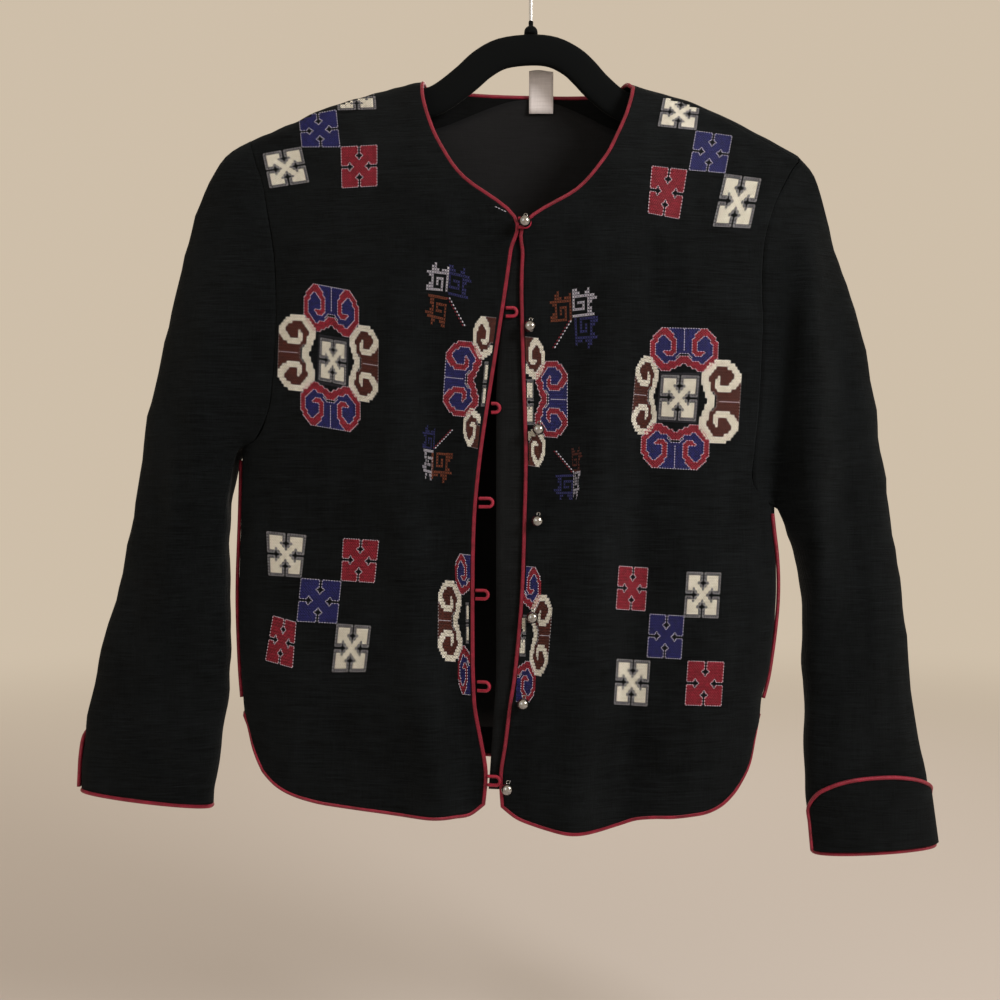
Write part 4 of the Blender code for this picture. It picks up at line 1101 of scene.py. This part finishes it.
# Cross-stitch
# Corners are given where the camera sees them; sight lines run from the eye through the plane y = 0
EYE_X, EYE_Z, DISTANCE = -25, -482, 950
FOCAL, MIDDLE = 1173, 500  # focal length and middle, of a picture 1000 wide
EYE = Vector((EYE_X, -DISTANCE, EYE_Z)) * MM
SIGHT = DISTANCE / FOCAL
LONGEST = 7  # of a stitch, beyond which it would bridge a fold


def sight(px, py):
    return EYE_X + (px - MIDDLE) * SIGHT, EYE_Z - (py - MIDDLE) * SIGHT


def onto(side, x, z):
    """The place and normal where the sight line through (x, 0, z) meets a front, or None."""
    way = Vector((x, 0, z)) * MM - EYE
    p, n, _, _ = trees[side].ray_cast(EYE, way.normalized(), 2.0)
    if p is None:
        return None
    if n.dot(way) > 0:
        n = -n
    return p / MM, n


# A square: X with a slit and an arrow notch in the middle of each side
def square_chart(n=15):
    wide = {0: 0, 1: 0, 2: 0, 3: 1, 4: 0}
    cells = {}
    for r in range(n):
        for c in range(n):
            filled = True
            for t, off in ((r, c), (n - 1 - r, c), (c, r), (n - 1 - c, r)):
                if t in wide and abs(off - n // 2) <= wide[t]:
                    filled = False
            if filled:
                cells[r, c] = 1
    return cells, n, n


# Half of a pair of scrolls: a band that curls round a centre, its ground behind it. Rows run from the flat side
# to the notched side, and columns from the middle outward.
BAND_HALF, TURN_IN = 0.185, 0.335


def scroll_chart(rows=17, half=13, cy=8.3, cx=7.0, rx=6.1, ry=8.5):
    cells = {}
    for r in range(rows):
        for c in range(half):
            x, y = c + 0.5 - cx, cy - (r + 0.5)
            rho = math.hypot(x / rx, y / (ry if y < 0 else cy))
            angle = math.degrees(math.atan2(y / ry, x / rx))
            kind = 0
            for turn in (0, 360):
                w = angle + turn
                if w < -165 or w > 330:
                    continue
                if w < -115:
                    line = 0.815 + 0.36 * (-115 - w) / 50
                elif w < 85:
                    line = 0.815
                else:
                    line = 0.815 - TURN_IN * (w - 85) / 90
                if abs(rho - line) < BAND_HALF:
                    kind = 1
            if not kind and (rho < 0.82 or (x < 0 and y > -1.5 - 0.25 * c)):
                kind = 2
            if kind:
                cells[r, half + c] = kind
                cells[r, half - 1 - c] = kind
    return cells, rows, 2 * half


# A fret: square spirals of single threads with loose points outside
FRET = ["...#.....",
        "..##....#",
        "..###.###",
        "#########",
        ".##.....#",
        "..#.###.#",
        "..#.#.#.#",
        ".##.#.#.#",
        "###...#.#",
        "#######.#"]


def fret_chart():
    cells = {(r, c): 1 for r, row in enumerate(FRET) for c, mark in enumerate(row) if mark == "#"}
    return cells, len(FRET), len(FRET[0])


SQUARE, SCROLL, KEY = square_chart(), scroll_chart(), fret_chart()
# The same square in white, a stitch in from its outline
CROSS = ({rc: 1 for rc in SQUARE[0] if all((rc[0] + a, rc[1] + b) in SQUARE[0] for a, b in
                                           ((-1, 0), (1, 0), (0, -1), (0, 1)))}, SQUARE[1], SQUARE[2])
stitches = {side: {"verts": [], "faces": [], "paint": []} for side in ("right", "left")}


def leg(store, a, b, n, half, high, paint):
    """One thread laid from a to b, plump in the middle and sunk at its ends."""
    way = (b - a).normalized()
    wide = way.cross(n).normalized() * half
    base = len(store["verts"])
    for at, rise, share in ((a, 0.0, 0.55), ((a + b) / 2, high, 1.0), (b, 0.0, 0.55)):
        lift = n * (rise + 0.12)
        store["verts"] += [at - wide * share + n * rise * 0.35, at + lift, at + wide * share + n * rise * 0.35]
    for k in (0, 3):
        store["faces"] += [(base + k, base + k + 1, base + k + 4, base + k + 3),
                           (base + k + 1, base + k + 2, base + k + 5, base + k + 4)]
    store["paint"] += [NAMES.index(paint)] * 4


def grid_places(side, corners, rows, cols):
    """The places of a chart's corners on the cloth, found as they are needed."""
    tl, tr, br, bl = (Vector(sight(*p)) for p in corners)
    cache = {}

    def at(r, c):
        if (r, c) not in cache:
            u, v = c / cols, r / rows
            cache[r, c] = onto(side, *tl.lerp(tr, u).lerp(bl.lerp(br, u), v))
        return cache[r, c]

    return at


def turned_chart(chart, turn, part=(0, 1)):
    cells, rows, cols = chart
    kinds = dict(cells)
    for _ in range(turn):
        kinds = {(c, rows - 1 - r): k for (r, c), k in kinds.items()}
        rows, cols = cols, rows
    first, last = round(part[0] * cols), round(part[1] * cols)
    return {(r, c - first): k for (r, c), k in kinds.items() if first <= c < last}, rows, last - first


def crosses(side, chart, corners, colours, turn=0, part=(0, 1), inset=0.05, fat=0.22):
    """Cross-stitches of a chart between four corners: top left, top right, bottom right and bottom left. part is
    the share of the columns that is on the cloth."""
    kinds, rows, cols = turned_chart(chart, turn, part)
    at = grid_places(side, corners, rows, cols)
    for (r, c), kind in kinds.items():
        ring = [at(r, c), at(r, c + 1), at(r + 1, c + 1), at(r + 1, c)]
        if None in ring:
            continue
        p = [q for q, _ in ring]
        if max((p[k] - p[k - 1]).length for k in range(4)) > LONGEST:
            continue
        n = sum((m for _, m in ring), Vector()).normalized()
        centre = sum(p, Vector()) / 4
        p = [q.lerp(centre, inset + 0.10 * noise.noise(Vector((r * 1.7, c * 1.3, k * 5.1 + corners[0][0]))))
             for k, q in enumerate(p)]
        size = min((p[0] - p[1]).length, (p[1] - p[2]).length)
        for a, b, high in ((3, 1, 0.20), (0, 2, 0.29)):
            leg(stitches[side], p[a], p[b], n, size * fat, size * high, colours[kind])


def outline(side, chart, corners, thread, turn=0, part=(0, 1), dots=0.22):
    """Back stitches, one to a cell's edge, wherever two kinds of cell meet."""
    kinds, rows, cols = turned_chart(chart, turn, part)
    at = grid_places(side, corners, rows, cols)
    for r in range(rows + 1):
        for c in range(cols + 1):
            here = kinds.get((r, c), 0)
            if c < cols and here != kinds.get((r - 1, c), 0):
                back_stitch(side, at(r, c), at(r, c + 1), thread, dots)
            if r < rows and here != kinds.get((r, c - 1), 0) and not (part != (0, 1) and c in (0, cols)):
                back_stitch(side, at(r, c), at(r + 1, c), thread, dots)


def middle_line(side, chart, corners, thread, turn, reach=9):
    """Back stitches down the middle of a pair of scrolls, from its flat side to its chevron."""
    _, rows, cols = turned_chart(chart, turn)
    at = grid_places(side, corners, rows, cols)
    for k in range(reach):
        if turn % 2 == 0:
            k = k if turn == 0 else rows - 1 - k
            back_stitch(side, at(k, cols // 2), at(k + 1, cols // 2), thread, 0.12)
        else:
            k = cols - 1 - k if turn == 1 else k
            back_stitch(side, at(rows // 2, k), at(rows // 2, k + 1), thread, 0.12)


def back_stitch(side, a, b, thread, gap=0.1, half=0.36, high=0.66):
    if a is None or b is None or (a[0] - b[0]).length > LONGEST:
        return
    n = (a[1] + b[1]).normalized()
    leg(stitches[side], a[0].lerp(b[0], gap), b[0].lerp(a[0], gap), n, half, high, thread)


RED, WHITE = {1: "red", 2: "blue"}, {1: "white", 2: "brown"}
NOTCH_DOWN, NOTCH_LEFT, NOTCH_UP, NOTCH_RIGHT = 0, 1, 2, 3
LEFT_HALF, RIGHT_HALF = (0, 0.5), (0.5, 1)

# Squares: side, thread, corners
SQUARES = [
    ("right", "blue", ((299, 117), (336, 110), (340, 147), (302, 147))),
    ("right", "white", ((263, 154), (301, 147), (309, 182), (270, 188))),
    ("right", "red", ((341, 147), (377, 145), (377, 186), (342, 188))),
    ("right", "white", ((337, 84), (374, 82), (376, 109), (338, 110))),
    ("left", "blue", ((696, 131), (732, 136), (725, 173), (689, 170))),
    ("left", "red", ((652, 166), (687, 170), (679, 219), (648, 213))),
    ("left", "white", ((725, 174), (761, 179), (750, 228), (713, 226))),
    ("left", "white", ((664, 96), (700, 100), (696, 130), (658, 126))),
    ("right", "white", ((266.7, 531.5), (306.1, 535.5), (301.2, 577.2), (268.7, 575.1))),
    ("right", "red", ((343.5, 538.4), (378.8, 540.6), (374.4, 582.7), (341.1, 580.5))),
    ("right", "blue", ((301.2, 578.3), (341.1, 581.4), (336.8, 623.3), (296.9, 621.2))),
    ("right", "red", ((273.2, 615.7), (296.1, 622.3), (292.5, 667.8), (265.6, 660.2))),
    ("right", "white", ((337.0, 623.9), (370.8, 626.1), (365.4, 671.6), (332.1, 671.8))),
    ("left", "red", ((619, 566), (648, 568), (645, 611), (616, 609))),
    ("left", "white", ((687, 572), (721, 573), (718, 618), (684, 617))),
    ("left", "blue", ((650, 614), (684, 616), (681, 659), (647, 657))),
    ("left", "white", ((617, 659), (650, 661), (647, 706), (614, 704))),
    ("left", "red", ((688, 661), (724, 662), (721, 706), (685, 705))),
]
BORDER = ({rc: 1 for rc in SQUARE[0] if rc not in CROSS[0]}, SQUARE[1], SQUARE[2])


def white_square(side, corners, part=(0, 1)):
    crosses(side, CROSS, corners, {1: "white"}, part=part, inset=0)
    crosses(side, BORDER, corners, {1: "grey"}, part=part, inset=0.16, fat=0.17)
    outline(side, SQUARE, corners, "grey", part=part, dots=0.12)


for side, thread, corners in SQUARES:
    if thread == "white":
        white_square(side, corners)
    else:
        crosses(side, SQUARE, corners, {1: thread})
        outline(side, SQUARE, corners, "pale")

# Scrolls: side, threads, the way of the notch, the part on the cloth, corners
SCROLLS = [
    ("right", RED, NOTCH_DOWN, (0, 1), ((304, 282), (358.7, 292.3), (358.7, 339), (304, 328.8))),
    ("right", RED, NOTCH_UP, (0, 1), ((300.8, 379.8), (360.2, 388.8), (360.2, 433.4), (300.8, 423.2))),
    ("right", WHITE, NOTCH_RIGHT, (0, 1), ((279.6, 313.5), (316, 316), (314.3, 392.6), (277.3, 388.8))),
    ("right", WHITE, NOTCH_LEFT, (0, 1), ((350, 323.7), (378.6, 327.6), (377.8, 404), (348.7, 399))),
    ("left", RED, NOTCH_DOWN, (0, 1), ((650.5, 327.3), (718.7, 329.2), (717.3, 372), (650, 370.5))),
    ("left", RED, NOTCH_UP, (0, 1), ((641.8, 422.6), (709.7, 425.6), (708.2, 470.5), (640.3, 466.9))),
    ("left", WHITE, NOTCH_RIGHT, (0, 1), ((637.2, 354.2), (659.2, 358.3), (655.6, 434.8), (630.1, 434.3))),
    ("left", WHITE, NOTCH_LEFT, (0, 1), ((702.6, 359.3), (742.3, 360.8), (737.2, 444), (698, 442.4))),
    ("right", WHITE, NOTCH_DOWN, LEFT_HALF, ((473.5, 315.3), (496.4, 317.9), (490.8, 360.7), (473, 358.2))),
    ("right", RED, NOTCH_RIGHT, (0, 1), ((447, 339.8), (483.2, 342.9), (476.8, 418.1), (442.3, 414.3))),
    ("right", WHITE, NOTCH_UP, LEFT_HALF, ((464, 407.1), (481.6, 409.7), (477.6, 448.7), (462.8, 444.9))),
    ("left", WHITE, NOTCH_DOWN, RIGHT_HALF, ((523.5, 336.5), (544.9, 339), (544.4, 379.8), (524.5, 378.6))),
    ("left", RED, NOTCH_LEFT, (0, 1), ((536.2, 361.3), (567.3, 361.2), (567.3, 438.5), (534.7, 436))),
    ("left", WHITE, NOTCH_UP, RIGHT_HALF, ((526.5, 426.5), (545.7, 428.3), (544.4, 467.9), (527.8, 465.3))),
    ("right", RED, NOTCH_DOWN, LEFT_HALF, ((454.6, 553.3), (470.4, 555.1), (469.9, 595.9), (455.6, 592.9))),
    ("right", WHITE, NOTCH_RIGHT, (0, 1), ((438.5, 579.6), (460.7, 581.4), (462.8, 662.2), (437.8, 660.5))),
    ("right", RED, NOTCH_UP, LEFT_HALF, ((457.7, 646.4), (469.9, 645.2), (470.4, 694.9), (458.2, 693.6))),
    ("left", RED, NOTCH_DOWN, RIGHT_HALF, ((523.5, 566.1), (541.3, 567.9), (540.6, 610.2), (521.9, 608.2))),
    ("left", WHITE, NOTCH_LEFT, (0, 1), ((531.6, 594.9), (553.3, 594.9), (546.4, 677), (529.1, 674.5))),
    ("left", RED, NOTCH_UP, RIGHT_HALF, ((517.9, 660.5), (536.2, 662.2), (534.7, 703.8), (515.8, 701.3))),
]
for side, colours, turn, part, corners in SCROLLS:
    crosses(side, SCROLL, corners, colours, turn, part, inset=0.05 if colours is RED else 0.02)
    outline(side, SCROLL, corners, "pale" if colours is RED else "grey", turn, part)
    if part == (0, 1):
        middle_line(side, SCROLL, corners, "pale", turn)

# Crosses in the middle boxes, and the columns of white beside the front edges
CENTRES = [
    ("right", (0, 1), ((320.7, 337.8), (346.2, 342.3), (345.4, 385), (318.9, 379.8))),
    ("left", (0, 1), ((661.7, 375.1), (699, 376.1), (695.4, 421), (658.5, 419))),
    ("left", (0.6, 1), ((525.5, 379.8), (533.7, 379.8), (533.7, 424.5), (526, 424.5))),
    ("right", (0, 0.2), ((484.5, 362), (488.5, 362), (484.5, 406), (480.8, 406))),
    ("right", (0, 0.2), ((465.6, 603), (468.6, 603), (468.6, 643), (465.8, 643))),
    ("left", (0.6, 1), ((520, 615.3), (526.5, 615.3), (525.5, 656), (519.5, 656))),
]
for side, part, corners in CENTRES:
    white_square(side, corners, part)

# Navy lines round the boxes
FRAME = ({(r, c): 1 for r in range(19) for c in range(19) if r in (0, 18) or c in (0, 18)}, 19, 19)
crosses("right", FRAME, ((318.6, 334), (348.7, 339), (347.4, 389.3), (316.8, 383.2)), {1: "navy"})
crosses("left", FRAME, ((660.2, 372.6), (701, 373), (696.4, 423.6), (656.1, 421.5)), {1: "navy"})

# Frets: side, thread, quarter turns, corners
FRETS = [
    ("right", "pale", 0, ((427, 261), (450, 264), (447.5, 292), (426, 290))),
    ("right", "ink", 1, ((449, 264), (472.5, 270), (470, 300), (448, 295))),
    ("right", "orange", 3, ((426, 293), (447.5, 297), (444.5, 328), (424.5, 323))),
    ("left", "orange", 0, ((549, 292), (571, 289.5), (572, 321), (550.5, 322.5))),
    ("left", "pale", 1, ((572, 289), (597, 286), (597, 315), (572.5, 318))),
    ("left", "ink", 2, ((574, 318), (598, 315.5), (597, 348.5), (575.5, 349))),
    ("right", "ink", 0, ((422.5, 424.5), (435.5, 426), (434.2, 450), (422.5, 448))),
    ("right", "pale", 3, ((422.4, 448), (433.5, 450), (431.5, 481), (422.4, 478))),
    ("right", "orange", 2, ((431.5, 452), (453, 453), (451, 484), (430.9, 482))),
    ("left", "brown", 1, ((571.5, 448), (583, 446), (581, 472), (572.5, 472))),
    ("left", "ink", 3, ((553.5, 475), (573.5, 474), (572.5, 500), (554, 500))),
    ("left", "pale", 2, ((573.5, 472), (580.5, 470), (578.5, 499), (573, 500.5))),
]
for side, thread, turn, corners in FRETS:
    crosses(side, KEY, corners, {1: thread}, turn, inset=0.2, fat=0.2)

# Slanting double lines between the frets and the medallions
SLANTS = [
    ("right", (449, 297), (465.5, 327)), ("left", (571.5, 320), (554, 349)),
    ("right", (453, 429.5), (434.5, 449)), ("left", (555.5, 450.5), (574.5, 473)),
]
for side, (x0, y0), (x1, y1) in SLANTS:
    steps = 9
    for k in range(steps):
        for off, thread in ((0, "pale"), (-1.9, "red")):
            a, b = (onto(side, *sight(x0 + (x1 - x0) * t + off, y0 + (y1 - y0) * t))
                    for t in ((k + 0.1) / steps, (k + 0.75) / steps))
            back_stitch(side, a, b, thread, half=0.55 if off == 0 else 0.3)
# A line of white basting at the corner of the neck
for k in range(4):
    a, b = (onto("right", *sight(495 + 11.5 * t, 206.5 + 5.5 * t)) for t in (k / 4, (k + 0.8) / 4))
    back_stitch("right", a, b, "pale", 0.0, 0.3)

embroidery = {}
for side, store in stitches.items():
    obj = add("cross_stitch_" + side, [v[:] for v in store["verts"]], store["faces"], list(THREADS.values()))
    obj.data.polygons.foreach_set("material_index", store["paint"])
    embroidery[side] = obj

# The scene
for name, obj in pieces.items():
    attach(obj, "root")
    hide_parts(name)
for obj in embroidery.values():
    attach(obj, "root")
for obj in rings:
    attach(obj, "root")


# Pale floor, which melts into the cream behind it with distance
WALL = (0.62, 0.52, 0.40, 1)
pale, tree, b = shader("pale_floor", (0.52, 0.48, 0.46), 0.9)
far = node(tree, "ShaderNodeVectorMath", operation="LENGTH")
tree.links.new(stretched(tree, (1, 1, 0)), far.inputs[0])
fade = node(tree, "ShaderNodeMapRange", interpolation_type="SMOOTHSTEP")
fade.inputs["From Min"].default_value, fade.inputs["From Max"].default_value = 0.4, 3.6
tree.links.new(far.outputs["Value"], fade.inputs["Value"])
glow = node(tree, "ShaderNodeEmission")
glow.inputs["Color"].default_value = WALL
mix = node(tree, "ShaderNodeMixShader")
tree.links.new(fade.outputs["Result"], mix.inputs["Fac"])
tree.links.new(b.outputs["BSDF"], mix.inputs[1])
tree.links.new(glow.outputs["Emission"], mix.inputs[2])
tree.links.new(mix.outputs["Shader"], tree.nodes["Material Output"].inputs["Surface"])
FLOOR, FAR = -1010, 9000  # its height and half its width
floor = add("floor", [(-FAR, -FAR, FLOOR), (FAR, -FAR, FLOOR), (FAR, FAR, FLOOR), (-FAR, FAR, FLOOR)],
            [(0, 1, 2, 3)], pale)


def lamp(name, place, aim, size, power, colour):
    data = bpy.data.lights.new(name, "AREA")
    data.shape = "DISK"
    data.size, data.energy, data.color = size, power, colour
    obj = bpy.data.objects.new(name, data)
    obj.location = place
    obj.rotation_euler = (Vector(aim) - Vector(place)).to_track_quat("-Z", "Y").to_euler()
    scene.collection.objects.link(obj)


lamp("key", (1.15, -1.05, 0.25), (0.02, 0, -0.45), 0.55, 22, (1.0, 0.96, 0.90))
lamp("fill", (-1.3, -1.6, 0.1), (0, 0, -0.45), 1.4, 5, (0.93, 0.96, 1.0))
lamp("behind", (0.4, 1.7, 0.6), (0, 0, -0.4), 1.5, 14, (1.0, 0.97, 0.92))
world = bpy.data.worlds.new("cream")
world.use_nodes = True
world.node_tree.nodes["Background"].inputs["Color"].default_value = WALL
world.node_tree.nodes["Background"].inputs["Strength"].default_value = 1.0
scene.world = world
scene.view_settings.view_transform = "Standard"

camera = bpy.data.cameras.new("camera")
LENS, SENSOR = 42.23, 36
camera.lens, camera.sensor_width, camera.sensor_fit = LENS, SENSOR, "HORIZONTAL"
camera.clip_start = 0.05
eye = bpy.data.objects.new("camera", camera)
eye.location = EYE
eye.rotation_euler = (math.pi / 2, 0, 0)
scene.collection.objects.link(eye)
scene.camera = eye
